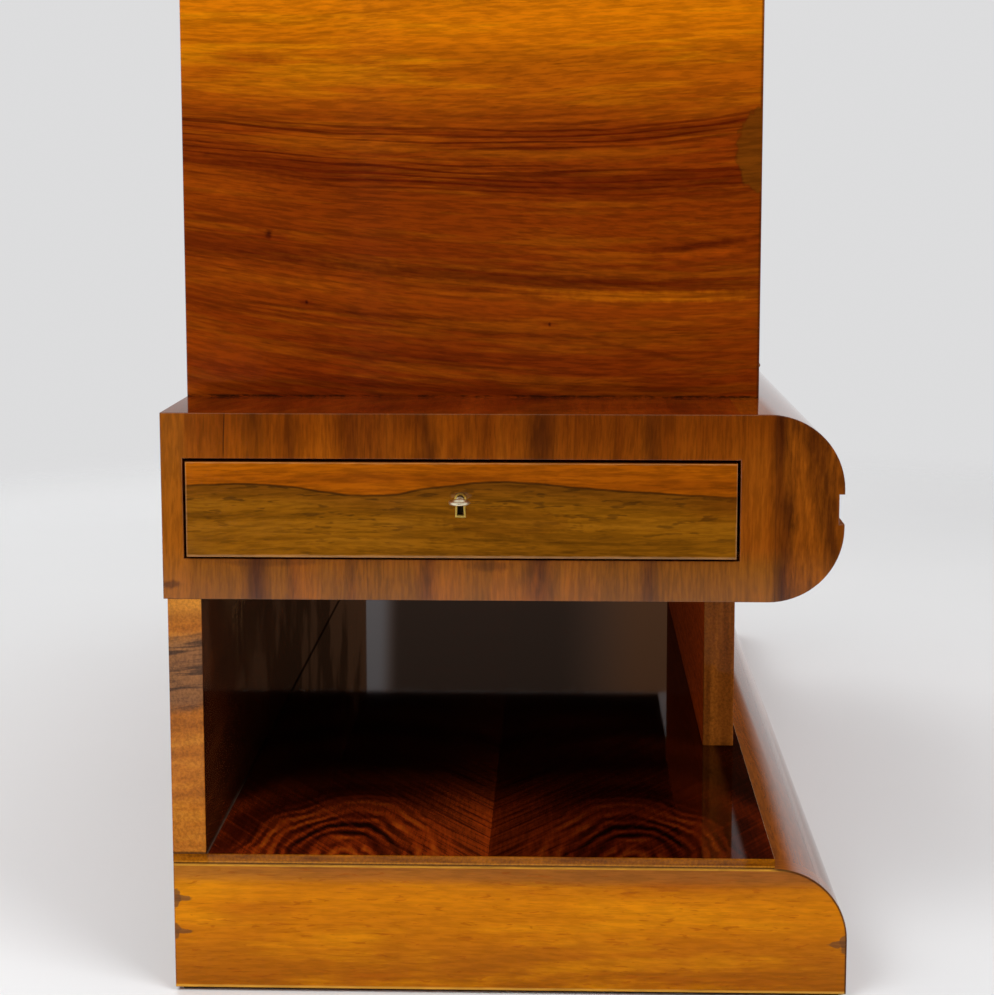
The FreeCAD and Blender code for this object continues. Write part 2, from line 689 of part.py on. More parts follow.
def stay_bar():
    """Flat bar from the pivot past the stud, with a slot that the stud runs along."""
    x = stay_plane()
    pivot = stay_pivot_place()
    stud = stud_place()
    shut = 2 * STAY_REACH * math.sin(math.radians(STAY_FOLD / 2))
    fallen = 2 * STAY_REACH * math.sin(math.radians((STAY_FOLD + STAY_SWING) / 2))
    half = STAY_WIDTH / 2
    slot_half = STUD_RADIUS + SLIP
    start = V(x[0], 0, 0)
    body = box(x, (0, fallen + half), (-half, half))
    body = body.fuse([rod(start + V(0, y, 0), V(1, 0, 0), half, STAY_BAR) for y in (0, fallen + half)])
    slot = box(x, (shut, fallen), (-slot_half, slot_half))
    slot = slot.fuse([rod(start + V(0, y, 0), V(1, 0, 0), slot_half, STAY_BAR) for y in (shut, fallen)])
    hole = rod(start, V(1, 0, 0), STUD_RADIUS + FIT, STAY_BAR)
    bar = body.cut([slot, hole]).removeSplitter()
    lean = math.degrees(math.atan2(stud.z - pivot.z, stud.y - pivot.y))
    return bar.rotated(V(0, 0, 0), V(1, 0, 0), lean).translated(pivot)


def stay_stud():
    x = stay_plane()
    length = PIN_IN + STAY_OFF_SIDE + STAY_BAR + SLIP
    shank = rod(stud_place() + V(-X_BAR_IN - PIN_IN, 0, 0), V(1, 0, 0), STUD_RADIUS, length)
    head = rod(stud_place() + V(x[1] + SLIP, 0, 0), V(1, 0, 0), STUD_HEAD, BRACKET)
    return shank.fuse(head).removeSplitter()


def stay_bracket():
    """Angle bracket on the flap: a foot on its inner face and an ear that carries the pivot."""
    x = stay_plane()
    pivot = stay_pivot_place()
    ear_x = (x[1] + SLIP, x[1] + SLIP + BRACKET)
    half = BRACKET_FOOT / 2
    foot_y = (Y_FLAP_IN, Y_FLAP_IN + BRACKET)
    foot = box((ear_x[0], ear_x[1] + BRACKET_WIDTH), foot_y, (pivot.z - half, pivot.z + half))
    ear = box(ear_x, (Y_FLAP_IN, pivot.y), (pivot.z - STAY_WIDTH / 2, pivot.z + STAY_WIDTH / 2))
    round_end = rod(pivot + V(ear_x[0], 0, 0), V(1, 0, 0), STAY_WIDTH / 2, BRACKET)
    rivet = rod(pivot + V(x[0] - SLIP, 0, 0), V(1, 0, 0), STUD_RADIUS, STAY_BAR + 2 * SLIP)
    cap = rod(pivot + V(x[0] - SLIP - BRACKET / 2, 0, 0), V(1, 0, 0), STUD_HEAD * 0.8, BRACKET / 2)
    return foot.fuse([ear, round_end, rivet, cap]).removeSplitter()


os.makedirs("parts", exist_ok=True)

# Plinth and open shelf
save("foot_strips", *foot_strips())
save_pair("plinth_end", plinth_end())
save("plinth_front", plinth_front())
save("plinth_back", plinth_back())
save("plinth_braces", *plinth_braces())
save("corner_blocks", *corner_blocks())
save("shelf_board", shelf_board())
save("tier_back", tier_back())
save("tier_front", tier_front())

# Drawer case
drawer_lock = lock_set(DRAWER_FRONT)
case_floor, case_roof, case_back = case_boards()
drawer_keeper = at_drawer(keeper(drawer_lock, DRAWER_GAP))
case_roof = case_roof.cut([drawer_keeper, mirrored(drawer_keeper)])
save("case_floor", case_floor)
save("case_roof", case_roof)
save("case_back", case_back)
save("case_nose", case_nose())
save_pair("case_facing", case_facing())
save("case_bulkheads", *bulkheads())
save("drawer_runners", *runners())
save("drawer_stops", *drawer_stops())

# Drawers with their locks and keys
drawer_front, drawer_sides, drawer_back, drawer_bottom = drawer(drawer_lock)
save_pair("drawer_front", drawer_front)
save_pair("drawer_sides", *drawer_sides)
save_pair("drawer_back", drawer_back)
save_pair("drawer_bottom", drawer_bottom)
save_pair("drawer_lock", at_drawer(drawer_lock["case"]))
save_pair("drawer_escutcheon", at_drawer(drawer_lock["escutcheon"]))
save_pair("drawer_bolt", at_drawer(drawer_lock["bolt"]))
save_pair("drawer_key", at_drawer(drawer_lock["key"]))

# Bar body
flap_lock = lock_set(FLAP)
save("bar_floor", bar_floor())
save_pair("bar_side", bar_side())
save("bar_top", bar_top().cut(at_flap(keeper(flap_lock, FLAP_TOP_GAP))))
save("bar_back", bar_back())
save("mirror_glass", mirror_glass())
save("mirror_beads", *mirror_beads())
save("glass_shelf", glass_shelf())
save("shelf_pins", *shelf_pins())
save("flap_stop", flap_stop())

# Flap, hinge, stays and flap lock
save("flap_panel", flap_panel(flap_lock))
save("hinge_leaf_case", hinge_leaf(-1))
save("hinge_leaf_flap", hinge_leaf(1))
save("hinge_pin", hinge_pin())
save_pair("stay_bar", stay_bar())
save("stay_studs", stay_stud(), mirrored(stay_stud()))
save("stay_brackets", stay_bracket(), mirrored(stay_bracket()))
save("flap_lock", at_flap(flap_lock["case"]))
save("flap_escutcheon", at_flap(flap_lock["escutcheon"]))
save("flap_bolt", at_flap(flap_lock["bolt"]))
save("flap_key", at_flap(flap_lock["key"]))
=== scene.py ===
import json
import math

import bpy
from mathutils import Matrix, Vector

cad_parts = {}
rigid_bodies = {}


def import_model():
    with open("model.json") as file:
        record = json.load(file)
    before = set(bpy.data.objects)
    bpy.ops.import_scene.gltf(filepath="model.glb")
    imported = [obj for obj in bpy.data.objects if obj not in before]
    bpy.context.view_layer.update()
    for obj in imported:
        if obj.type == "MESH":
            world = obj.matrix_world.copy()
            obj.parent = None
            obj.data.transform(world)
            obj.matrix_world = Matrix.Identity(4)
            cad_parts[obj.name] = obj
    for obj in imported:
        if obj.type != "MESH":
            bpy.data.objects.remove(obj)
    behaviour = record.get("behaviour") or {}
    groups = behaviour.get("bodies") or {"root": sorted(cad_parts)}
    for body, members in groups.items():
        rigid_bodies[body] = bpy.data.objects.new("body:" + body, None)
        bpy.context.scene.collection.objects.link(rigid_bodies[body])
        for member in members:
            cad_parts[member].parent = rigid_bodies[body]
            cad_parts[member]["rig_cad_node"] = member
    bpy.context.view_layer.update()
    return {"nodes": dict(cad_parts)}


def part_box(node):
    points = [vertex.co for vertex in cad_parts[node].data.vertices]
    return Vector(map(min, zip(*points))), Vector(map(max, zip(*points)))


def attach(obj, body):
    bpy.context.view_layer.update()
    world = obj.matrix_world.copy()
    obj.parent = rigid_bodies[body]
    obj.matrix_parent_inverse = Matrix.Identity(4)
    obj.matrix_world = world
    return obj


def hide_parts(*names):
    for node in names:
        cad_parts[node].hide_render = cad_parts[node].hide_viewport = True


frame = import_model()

# Plinth carcass: foot strips, back rail, braces and glue blocks inside the plinth.
# Sawn beech, stained and dusty, rub-jointed with hide glue and never polished.
VECTOR = "NodeSocketVector"
VALUE = "NodeSocketFloat"


def tint(red, green, blue):
    """A colour as it is read off a screen, turned into the light a shader works with."""
    parts = [c / 255 for c in (red, green, blue)]
    return tuple(c / 12.92 if c < 0.04045 else ((c + 0.055) / 1.055) ** 2.4 for c in parts) + (1.0,)


def plug(tree, node, sockets):
    """Sockets of a node, each given a value or a link from another node."""
    for name, value in sockets.items():
        if isinstance(value, bpy.types.NodeSocket):
            tree.links.new(value, node.inputs[name])
        else:
            node.inputs[name].default_value = value


def wire(tree, kind, sockets, **settings):
    """A new shader node with its settings and its sockets."""
    made = tree.nodes.new(kind)
    for name, value in settings.items():
        setattr(made, name, value)
    plug(tree, made, sockets)
    return made


def sums(tree, operation, *values):
    """One step of arithmetic on shader values."""
    return wire(tree, "ShaderNodeMath", dict(enumerate(values)), operation=operation).outputs[0]


def times(tree, first, second):
    """Two shader values multiplied."""
    return sums(tree, "MULTIPLY", first, second)


def scaled(tree, value, factor, shift):
    """A value times a factor, with a shift added."""
    return sums(tree, "MULTIPLY_ADD", value, factor, shift)


def swung(tree, value, span):
    """Noise that swings to both sides of zero, over this span."""
    return scaled(tree, value, span, -span / 2)


def vectors(tree, operation, *values):
    """One step of arithmetic on places."""
    return wire(tree, "ShaderNodeVectorMath", dict(enumerate(values)), operation=operation).outputs[0]


def point(tree, x, y, z):
    """A place put together from its coordinates."""
    return wire(tree, "ShaderNodeCombineXYZ", {0: x, 1: y, 2: z}).outputs[0]


def between(tree, value, low, high, out_low=0.0, out_high=1.0):
    """A value eased from one range into another."""
    sockets = {"Value": value, "From Min": low, "From Max": high, "To Min": out_low, "To Max": out_high}
    return wire(tree, "ShaderNodeMapRange", sockets, interpolation_type="SMOOTHSTEP").outputs[0]


def mixed(tree, share, first, second, blend="MIX"):
    """One colour blended into another."""
    sockets = {0: share, 6: first, 7: second}
    return wire(tree, "ShaderNodeMix", sockets, data_type="RGBA", blend_type=blend).outputs[2]


def cloud(tree, place, scale, detail=2.0, roughness=0.5, distortion=0.0):
    """Soft noise, stretched by its own scale along each axis."""
    stretched = vectors(tree, "MULTIPLY", place, scale)
    sockets = {"Vector": stretched, "Scale": 1.0, "Detail": detail, "Roughness": roughness}
    return wire(tree, "ShaderNodeTexNoise", {**sockets, "Distortion": distortion}).outputs[0]


def even_cloud(tree, place, scale, detail=2.0, roughness=0.5):
    """Soft noise of the same scale along every axis."""
    return cloud(tree, place, (scale, scale, scale), detail, roughness)


def bumped(tree, height, strength, distance):
    """A surface's normal, raised and sunk by a height."""
    sockets = {"Height": height, "Strength": strength, "Distance": distance}
    return wire(tree, "ShaderNodeBump", sockets).outputs[0]


def shared_effect(name, given, results):
    """An empty shader node group: its tree, its named inputs and its output node."""
    tree = bpy.data.node_groups.new(name, "ShaderNodeTree")
    for label, kind in given:
        tree.interface.new_socket(label, in_out="INPUT", socket_type=kind)
    for label in results:
        tree.interface.new_socket(label, in_out="OUTPUT", socket_type=VALUE)
    return tree, tree.nodes.new("NodeGroupInput").outputs, tree.nodes.new("NodeGroupOutput")


wood_grain, given, result = shared_effect(
    "wood_grain",
    [("Place", VECTOR), ("Seed", VALUE), ("Streaks", VALUE)],
    ["Streak", "Line", "Fibre", "Pore", "Height"],
)
seeded = point(wood_grain, given["Seed"], given["Seed"], given["Seed"])
moved = vectors(wood_grain, "MULTIPLY_ADD", seeded, (3.7, 5.1, 7.3), given["Place"])
drift = swung(wood_grain, cloud(wood_grain, moved, (1.7, 3.0, 3.0)), 0.05)
bent = vectors(wood_grain, "ADD", moved, point(wood_grain, 0.0, drift, drift))
width = point(wood_grain, 1.3, given["Streaks"], given["Streaks"])
line = cloud(wood_grain, bent, (1.2, 150.0, 150.0), 3.0, 0.55)
fibre = cloud(wood_grain, bent, (48.0, 440.0, 440.0), 3.0, 0.62)
fibre = between(wood_grain, fibre, 0.36, 0.64, 0.32, 0.68)
dashes = between(wood_grain, cloud(wood_grain, bent, (75.0, 1050.0, 1050.0), 1.0), 0.58, 0.72)
crowd = between(wood_grain, cloud(wood_grain, moved, (3.0, 30.0, 30.0)), 0.3, 0.7)
pore = times(wood_grain, dashes, crowd)
plug(wood_grain, result, {
    "Streak": cloud(wood_grain, bent, width, 6.0, 0.62, 0.2),
    "Line": between(wood_grain, line, 0.55, 0.68),
    "Fibre": fibre,
    "Pore": pore,
    "Height": scaled(wood_grain, pore, -0.35, times(wood_grain, fibre, 0.5)),
})


def grained(tree, place, axis, seed, streaks):
    """The grain of one board along this axis: streak, line, fibre, pore and height."""
    turns = {"x": (0.0, 0.0, 0.0), "y": (0.0, 0.0, -math.pi / 2), "z": (0.0, math.pi / 2, 0.0)}
    turned = wire(tree, "ShaderNodeMapping", {"Vector": place, "Rotation": turns[axis]}).outputs[0]
    sockets = {"Place": turned, "Seed": seed, "Streaks": streaks}
    return wire(tree, "ShaderNodeGroup", sockets, node_tree=wood_grain).outputs


def marked(tree, colour, lines, depth, fleck=1.0):
    """A wood colour darkened along its streaks and pores and flecked by its fibres."""
    tone = scaled(tree, lines["Streak"], 2 * depth, 1.0 - depth)
    tone = scaled(tree, lines["Fibre"], fleck, sums(tree, "SUBTRACT", tone, fleck / 2))
    tone = scaled(tree, lines["Pore"], -0.2, tone)
    tone = scaled(tree, lines["Line"], -0.5 * depth, tone)
    return wire(tree, "ShaderNodeHueSaturation", {"Color": colour, "Value": tone}).outputs[0]


def fresh_material(name):
    """A new material with its tree, its shader and the object's own coordinates."""
    made = bpy.data.materials.new(name)
    made.use_nodes = True
    tree = made.node_tree
    place = wire(tree, "ShaderNodeTexCoord", {}).outputs["Object"]
    return made, tree, tree.nodes["Principled BSDF"], place


def bare_wood(name, light, dark, axis, seed, streaks):
    """Unpolished timber: two tones of grain, dull, with a little dust and handling in the roughness."""
    made, tree, shader, place = fresh_material(name)
    lines = grained(tree, place, axis, seed, streaks)
    base = mixed(tree, between(tree, lines["Streak"], 0.35, 0.68), tint(*light), tint(*dark))
    soil = even_cloud(tree, place, 9.0, 4.0)
    base = mixed(tree, between(tree, soil, 0.5, 0.85, 0.0, 0.3), base, tint(70, 48, 30), "MULTIPLY")
    plug(tree, shader, {
        "Base Color": marked(tree, base, lines, 0.24, 0.6),
        "Roughness": scaled(tree, soil, 0.25, 0.5),
        "Specular IOR Level": 0.0,
        "Normal": bumped(tree, lines["Height"], 0.35, 0.0004),
    })
    return made


def dress(material, *names):
    """Gives CAD nodes, which keep their shape, this finish."""
    for name in names:
        for place in frame["nodes"][name].material_slots:
            place.material = material


dress(bare_wood("plinth_carcass_beech", (150, 104, 62), (112, 72, 40), "x", 1.3, 40.0),
      "plinth_back", "plinth_braces", "corner_blocks")
dress(bare_wood("foot_strip_beech", (66, 44, 24), (40, 26, 14), "x", 2.1, 40.0), "foot_strips")

# Plinth: an end board at each end and one board bent round the front, under the shelf.
# Golden walnut veneer with level grain, thick clear lacquer, edges rubbed bare and filled in places.
def along(tree, place, axis):
    """One coordinate of a place."""
    return wire(tree, "ShaderNodeSeparateXYZ", {0: place}).outputs[axis]


def length(tree, vector):
    """How long a step from one place to another is."""
    return wire(tree, "ShaderNodeVectorMath", {0: vector}, operation="LENGTH").outputs["Value"]


def laid(tree, base, colour, mask, share=1.0):
    """A screen colour laid over a base as far as a mask, or a share of it, lets it through."""
    strength = mask if share == 1.0 else times(tree, mask, share)
    return mixed(tree, strength, base, tint(*colour))


def shaded(tree, factor, *stops):
    """Screen colours laid out along a value, each with its position."""
    made = wire(tree, "ShaderNodeValToRGB", {"Fac": factor})
    stripes = made.color_ramp.elements
    while len(stripes) < len(stops):
        stripes.new(0.5)
    for stripe, (position, colour) in zip(stripes, stops):
        stripe.position = position
        stripe.color = tint(*colour)
    return made.outputs[0]


def three_tones(tree, value, dark, middle, light, stops=(0.28, 0.5, 0.75)):
    """Three tones of one wood laid out along a value, such as its streaks."""
    return shaded(tree, value, *zip(stops, (dark, middle, light)))


lacquer, given, result = shared_effect("lacquer", [("Place", VECTOR)], ["Roughness", "Ripple"])
smear = even_cloud(lacquer, given["Place"], 7.0, 5.0, 0.6)
specks = between(lacquer, even_cloud(lacquer, given["Place"], 420.0, 1.0), 0.68, 0.8)
swell = cloud(lacquer, given["Place"], (9.0, 9.0, 14.0))
plug(lacquer, result, {
    "Roughness": scaled(lacquer, smear, 0.22, scaled(lacquer, specks, 0.15, 0.22)),
    "Ripple": scaled(lacquer, even_cloud(lacquer, given["Place"], 60.0), 0.35, swell),
})

worn_edge, given, result = shared_effect(
    "worn_edge", [("Place", VECTOR), ("Low", VECTOR), ("High", VECTOR), ("Width", VALUE)], ["Wear"]
)
to_low = vectors(worn_edge, "SUBTRACT", given["Place"], given["Low"])
to_high = vectors(worn_edge, "SUBTRACT", given["High"], given["Place"])
nearest = vectors(worn_edge, "MINIMUM", to_low, to_high)
a, b, c = (along(worn_edge, nearest, i) for i in range(3))
second = sums(worn_edge, "MAXIMUM", sums(worn_edge, "MINIMUM", a, b),
              sums(worn_edge, "MINIMUM", sums(worn_edge, "MAXIMUM", a, b), c))
chance = even_cloud(worn_edge, given["Place"], 45.0, 4.0, 0.7)
reach = times(worn_edge, given["Width"], scaled(worn_edge, chance, 2.0, -0.35))
rubbed = sums(worn_edge, "DIVIDE", second, sums(worn_edge, "MAXIMUM", reach, 0.00005))
plug(worn_edge, result, {"Wear": between(worn_edge, rubbed, 1.0, 0.35)})


def edge_wear(tree, place, box, width):
    """Mask of the rubbed edges of a board that fills this box."""
    sockets = {"Place": place, "Low": box[0], "High": box[1], "Width": width}
    return wire(tree, "ShaderNodeGroup", sockets, node_tree=worn_edge).outputs["Wear"]


def spot(tree, place, centre, reach, ragged=0.35, core=0.8):
    """Mask of a patch with a ragged rim, fading outwards from its core, with a reach along each axis."""
    offset = vectors(tree, "DIVIDE", vectors(tree, "SUBTRACT", place, centre), reach)
    rim = swung(tree, even_cloud(tree, place, 160.0, 3.0), 2 * ragged)
    return between(tree, sums(tree, "ADD", length(tree, offset), rim), 1.0, core)


def end_spot(tree, place, y, z, wide, high, ragged=0.35, core=0.8):
    """A spot that shows on both ends of the cabinet, whatever its place along the cabinet."""
    return spot(tree, place, (0.0, y, z), (9.0, wide, high), ragged, core)


def lacquered(name, colouring, axis, seed, streaks, depth=0.3, fleck=1.0, bend=None, gloss=1.0, wavy=0.0):
    """Veneer under clear lacquer; colouring(tree, place, lines) gives its colour before its fine marks.

    The gloss is one number for the whole board, or gloss(tree, place) where the lacquer is thinner in places.
    """
    made, tree, shader, place = fresh_material(name)
    sheet = bend(tree, place) if bend else place
    lines = grained(tree, sheet, axis, seed, streaks)
    colour = colouring(tree, sheet, lines)
    skin = wire(tree, "ShaderNodeGroup", {"Place": place}, node_tree=lacquer).outputs
    plug(tree, shader, {
        "Base Color": marked(tree, colour, lines, depth, fleck),
        "Roughness": skin["Roughness"],
        "Normal": bumped(tree, scaled(tree, skin["Ripple"], wavy, lines["Height"]), 0.12, 0.0003),
        "Specular IOR Level": 0.0,
        "Coat Weight": gloss(tree, place) if callable(gloss) else gloss,
        "Coat Roughness": 0.045,
    })
    return made


def pick(piece):
    """This piece alone selected and active, for the operators that follow."""
    bpy.ops.object.select_all(action="DESELECT")
    piece.select_set(True)
    bpy.context.view_layer.objects.active = piece


def copied(piece):
    """A copy of a piece, with its own mesh."""
    pick(piece)
    bpy.ops.object.duplicate()
    return bpy.context.view_layer.objects.active


def sharp_edges(mesh):
    """Edges where two faces meet at more than 40 degrees."""
    faces = {}
    for face in mesh.polygons:
        for key in face.edge_keys:
            faces.setdefault(key, []).append(face.normal)
    lookup = {tuple(sorted(edge.vertices)): edge.index for edge in mesh.edges}
    limit = math.cos(math.radians(40))
    return {lookup[k] for k, n in faces.items() if len(n) == 2 and n[0].dot(n[1]) < limit}


def polished(name, body, material, width=0.0, chosen=None):
    """A merged copy of a board that stands for its CAD node, with the chosen edges rubbed round."""
    board = copied(frame["nodes"][name])
    board.name = name + "_polished"
    del board["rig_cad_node"]
    bpy.ops.mesh.customdata_custom_splitnormals_clear()
    bpy.ops.object.mode_set(mode="EDIT")
    bpy.ops.mesh.select_all(action="SELECT")
    bpy.ops.mesh.remove_doubles(threshold=0.00001)
    bpy.ops.mesh.dissolve_limited(angle_limit=math.radians(0.5))
    bpy.ops.mesh.select_all(action="DESELECT")
    bpy.ops.object.mode_set(mode="OBJECT")
    if width:
        points = board.data.vertices
        sharp = sharp_edges(board.data)
        for edge in board.data.edges:
            ends = [points[i].co for i in edge.vertices]
            edge.select = edge.index in sharp and chosen(*ends)
        bpy.ops.object.mode_set(mode="EDIT")
        bpy.ops.mesh.select_mode(type="EDGE")
        bpy.ops.mesh.bevel(offset=width, segments=3, affect="EDGES", clamp_overlap=True)
        bpy.ops.object.mode_set(mode="OBJECT")
    bpy.ops.object.shade_smooth_by_angle(angle=math.radians(32))
    bpy.ops.object.modifier_add(type="WEIGHTED_NORMAL")
    board.modifiers[-1].keep_sharp = True
    bpy.ops.object.modifier_apply(modifier=board.modifiers[-1].name)
    board.data.materials.clear()
    board.data.materials.append(material)
    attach(board, body)
    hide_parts(name)
    return board


plinth_low, plinth_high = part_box("plinth_end_right")
END_FACE = plinth_high.x
PLINTH_EDGES = (Vector((-END_FACE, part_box("plinth_front")[0].y, plinth_low.z)), plinth_high)
PLINTH_ROUND = 0.055
ROUND_Y, ROUND_Z = plinth_low.y + PLINTH_ROUND, plinth_high.z - PLINTH_ROUND
CHIPS = ((0.252, 0.073, 0.008), (0.252, 0.047, 0.007), (-0.2545, 0.042, 0.009))
CHIP_WIDE, CRACK_WIDE = 0.0065, 0.018


def outer_end(first, last):
    """Edges that lie in the outer face of an end board."""
    return min(abs(first.x), abs(last.x)) > END_FACE - 0.0001


def on_end(tree, place, low=0.0, high=1.0, face=END_FACE):
    """A value that changes from a board's faces, low, to its end faces, high."""
    across = sums(tree, "ABSOLUTE", along(tree, place, 0))
    return between(tree, across, face - 0.0012, face - 0.0006, low, high)


def thin_ends(kept):
    """Lacquer that is thick on the faces of a board and rubbed down to this share on its ends."""
    return lambda tree, place: on_end(tree, place, 1.0, kept)


def plinth_outline(tree, place):
    """Mask of the dark glue line along the rounded front edge of an end board."""
    y = sums(tree, "SUBTRACT", along(tree, place, 1), ROUND_Y)
    z = sums(tree, "SUBTRACT", along(tree, place, 2), ROUND_Z)
    corner = point(tree, 0.0, sums(tree, "MINIMUM", y, 0.0), sums(tree, "MAXIMUM", z, 0.0))
    close = between(tree, length(tree, corner), PLINTH_ROUND - 0.0019, PLINTH_ROUND - 0.0009)
    return times(tree, close, between(tree, y, 0.004, -0.004))


def plinth_front_wood(tree, lines):
    """The brown walnut of the bent front board, which also shows on the rim of the end boards."""
    return three_tones(tree, lines["Streak"], (100, 46, 8), (138, 68, 9), (160, 86, 12), (0.25, 0.5, 0.75))


def plinth_colour(tree, place, lines):
    """Golden end board, brown at the foot and dull under the shelf, its chips filled."""
    z = along(tree, place, 2)
    wobble = swung(tree, cloud(tree, place, (3.0, 3.0, 14.0), 3.0), 0.3)
    base = shaded(
        tree, sums(tree, "ADD", sums(tree, "DIVIDE", z, plinth_high.z), wobble),
        (0.0, (142, 76, 8)), (0.28, (158, 87, 8)), (0.45, (176, 99, 5)),
        (0.72, (190, 110, 3)), (0.86, (174, 99, 7)), (0.95, (138, 77, 14)),
    )
    glow = cloud(tree, place, (4.0, 6.0, 46.0), 5.0, 0.65)
    base = laid(tree, base, (212, 132, 4), between(tree, glow, 0.46, 0.66, 0.0, 0.5))
    rust = cloud(tree, place, (4.0, 4.0, 30.0), 4.0)
    base = laid(tree, base, (148, 66, 8), between(tree, rust, 0.56, 0.72, 0.0, 0.55))
    base = laid(tree, base, (138, 82, 34), between(tree, z, 0.083, 0.092, 0.0, 0.55))
    for chip_y, chip_z, tall in CHIPS:
        for wide, high in ((CHIP_WIDE, tall), (CRACK_WIDE, 0.35 * tall)):
            filler = end_spot(tree, place, chip_y, chip_z, wide, high, 0.5)
            base = laid(tree, base, (98, 62, 34), filler, 0.75)
    scratch = cloud(tree, place, (1.0, 70.0, 420.0), 2.0, 0.5, 0.6)
    base = laid(tree, base, (138, 62, 6), between(tree, scratch, 0.62, 0.7, 0.0, 0.45))
    base = laid(tree, base, (206, 148, 44), between(tree, z, 0.0978, 0.0988, 0.0, 0.7))
    base = laid(tree, base, (118, 74, 36), edge_wear(tree, place, PLINTH_EDGES, 0.0022), 0.55)
    foot = between(tree, z, plinth_low.z + 0.0028, plinth_low.z + 0.0016, 0.0, 0.7)
    base = laid(tree, base, (204, 150, 58), foot)
    base = laid(tree, base, (62, 32, 12), plinth_outline(tree, place), 0.85)
    return mixed(tree, on_end(tree, place), plinth_front_wood(tree, lines), base)


plinth_veneer = lacquered("plinth_veneer", plinth_colour, "y", 4.2, 34.0, 0.14, 0.6, gloss=thin_ends(0.12))
for side in ("left", "right"):
    polished("plinth_end_" + side, "case", plinth_veneer, 0.0009, outer_end)


def plinth_front_colour(tree, place, lines):
    """Brown walnut with rubbed edges."""
    wear = edge_wear(tree, place, PLINTH_EDGES, 0.002)
    return laid(tree, plinth_front_wood(tree, lines), (120, 76, 40), wear, 0.5)


polished("plinth_front", "case",
         lacquered("plinth_front_veneer", plinth_front_colour, "x", 5.6, 26.0, 0.25))

# Shelf board: the thin board that closes the plinth and carries the open tier.
# Book-matched walnut from the crotch of the tree, dark rings round a heart, with a pale edge line.
shelf_low, shelf_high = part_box("shelf_board")
SEAM_Y = 0.0145
HEART_FROM_SEAM = 0.108
FINE_RINGS, BROAD_RINGS = 92.0, 19.0
BACK_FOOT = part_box("tier_back")[0].y
USED_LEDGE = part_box("tier_front")[0].y + 0.016


def apart(tree, value, other):
    """How far a value is from another, to either side."""
    return sums(tree, "ABSOLUTE", sums(tree, "SUBTRACT", value, other))


def glue_and_shade_line(tree, place):
    """Mask of the line of old glue on the shelf, along the foot of the back panel, which also carries painted
    shade in that corner.
    """
    return between(tree, along(tree, place, 1), BACK_FOOT - 0.0017, BACK_FOOT - 0.0008)


def shelf_colour(tree, place, lines):
    """Rings round a heart on each leaf, with fanning stripes, and a golden lipping along the ends; painted
    shade darkens the shelf deep inside the open tier and over one whole leaf.
    """
    inward = sums(tree, "SUBTRACT", END_FACE + 0.004, sums(tree, "ABSOLUTE", along(tree, place, 0)))
    off = sums(tree, "SUBTRACT", along(tree, place, 1), SEAM_Y)
    away = sums(tree, "ABSOLUTE", off)
    leaf = point(tree, inward, away, 0.0)
    sway = swung(tree, cloud(tree, leaf, (10.0, 15.0, 1.0), 3.0), 0.046)
    reach = point(tree, times(tree, inward, 0.62), sums(tree, "SUBTRACT", away, HEART_FROM_SEAM), 0.0)
    heart = length(tree, reach)
    rings = sums(tree, "ADD", heart, sway)
    wave = sums(tree, "SINE", times(tree, rings, 2 * math.pi * FINE_RINGS))
    broad = sums(tree, "SINE", times(tree, rings, 2 * math.pi * BROAD_RINGS))
    patchy = between(tree, cloud(tree, leaf, (24.0, 30.0, 1.0), 3.0), 0.36, 0.6, 0.25, 1.0)
    strong = times(tree, between(tree, heart, 0.1, 0.06), patchy)
    fan = point(tree, scaled(tree, inward, -0.75, away), inward, 0.0)
    stripes = sums(tree, "SUBTRACT", cloud(tree, fan, (210.0, 9.0, 1.0), 4.0, 0.6), 0.47)
    figure = scaled(tree, times(tree, wave, strong), 0.26, 0.42)
    figure = scaled(tree, stripes, 0.7, scaled(tree, broad, 0.13, figure))
    base = shaded(
        tree, figure,
        (0.1, (30, 7, 3)), (0.36, (82, 21, 4)), (0.6, (134, 44, 7)), (0.92, (184, 84, 16)),
    )
    by_seam = times(tree, between(tree, away, 0.1, 0.01, 0.0, 0.45), between(tree, stripes, -0.12, 0.12))
    base = laid(tree, base, (172, 66, 14), by_seam)
    # Painted shade: the shelf is darkened towards the middle, deep inside the open tier.
    base = laid(tree, base, (30, 8, 3), between(tree, inward, 0.07, 0.2, 0.0, 0.75))
    # Painted shade: one leaf of the shelf is darkened all over, as if in shadow.
    shadow_leaf = between(tree, off, 0.0006, -0.0006, 0.0, 0.8)
    base = mixed(tree, shadow_leaf, base, tint(128, 104, 104), "MULTIPLY")
    base = laid(tree, base, (170, 124, 78), edge_wear(tree, place, (shelf_low, shelf_high), 0.0012), 0.6)
    # The glue line: dusty grey near the ends, painted near-black deeper in as painted shade inside the open
    # tier.
    dust = mixed(tree, between(tree, inward, 0.1, 0.2), tint(96, 78, 66), tint(16, 7, 4))
    base = mixed(tree, times(tree, glue_and_shade_line(tree, place), 0.85), base, dust)
    edging = cloud(tree, place, (30.0, 30.0, 220.0), 3.0)
    edging = shaded(tree, edging, (0.3, (98, 49, 2)), (0.7, (146, 82, 5)))
    z = along(tree, place, 2)
    foot = between(tree, z, shelf_low.z + 0.0028, shelf_low.z + 0.0016, 0.0, 0.7)
    edging = laid(tree, edging, (176, 112, 26), foot)
    groove = between(tree, apart(tree, z, shelf_low.z + 0.0005), 0.0009, 0.0004, 0.0, 0.8)
    edging = laid(tree, edging, (58, 30, 8), groove)
    return mixed(tree, between(tree, inward, 0.0052, 0.0046), base, edging)


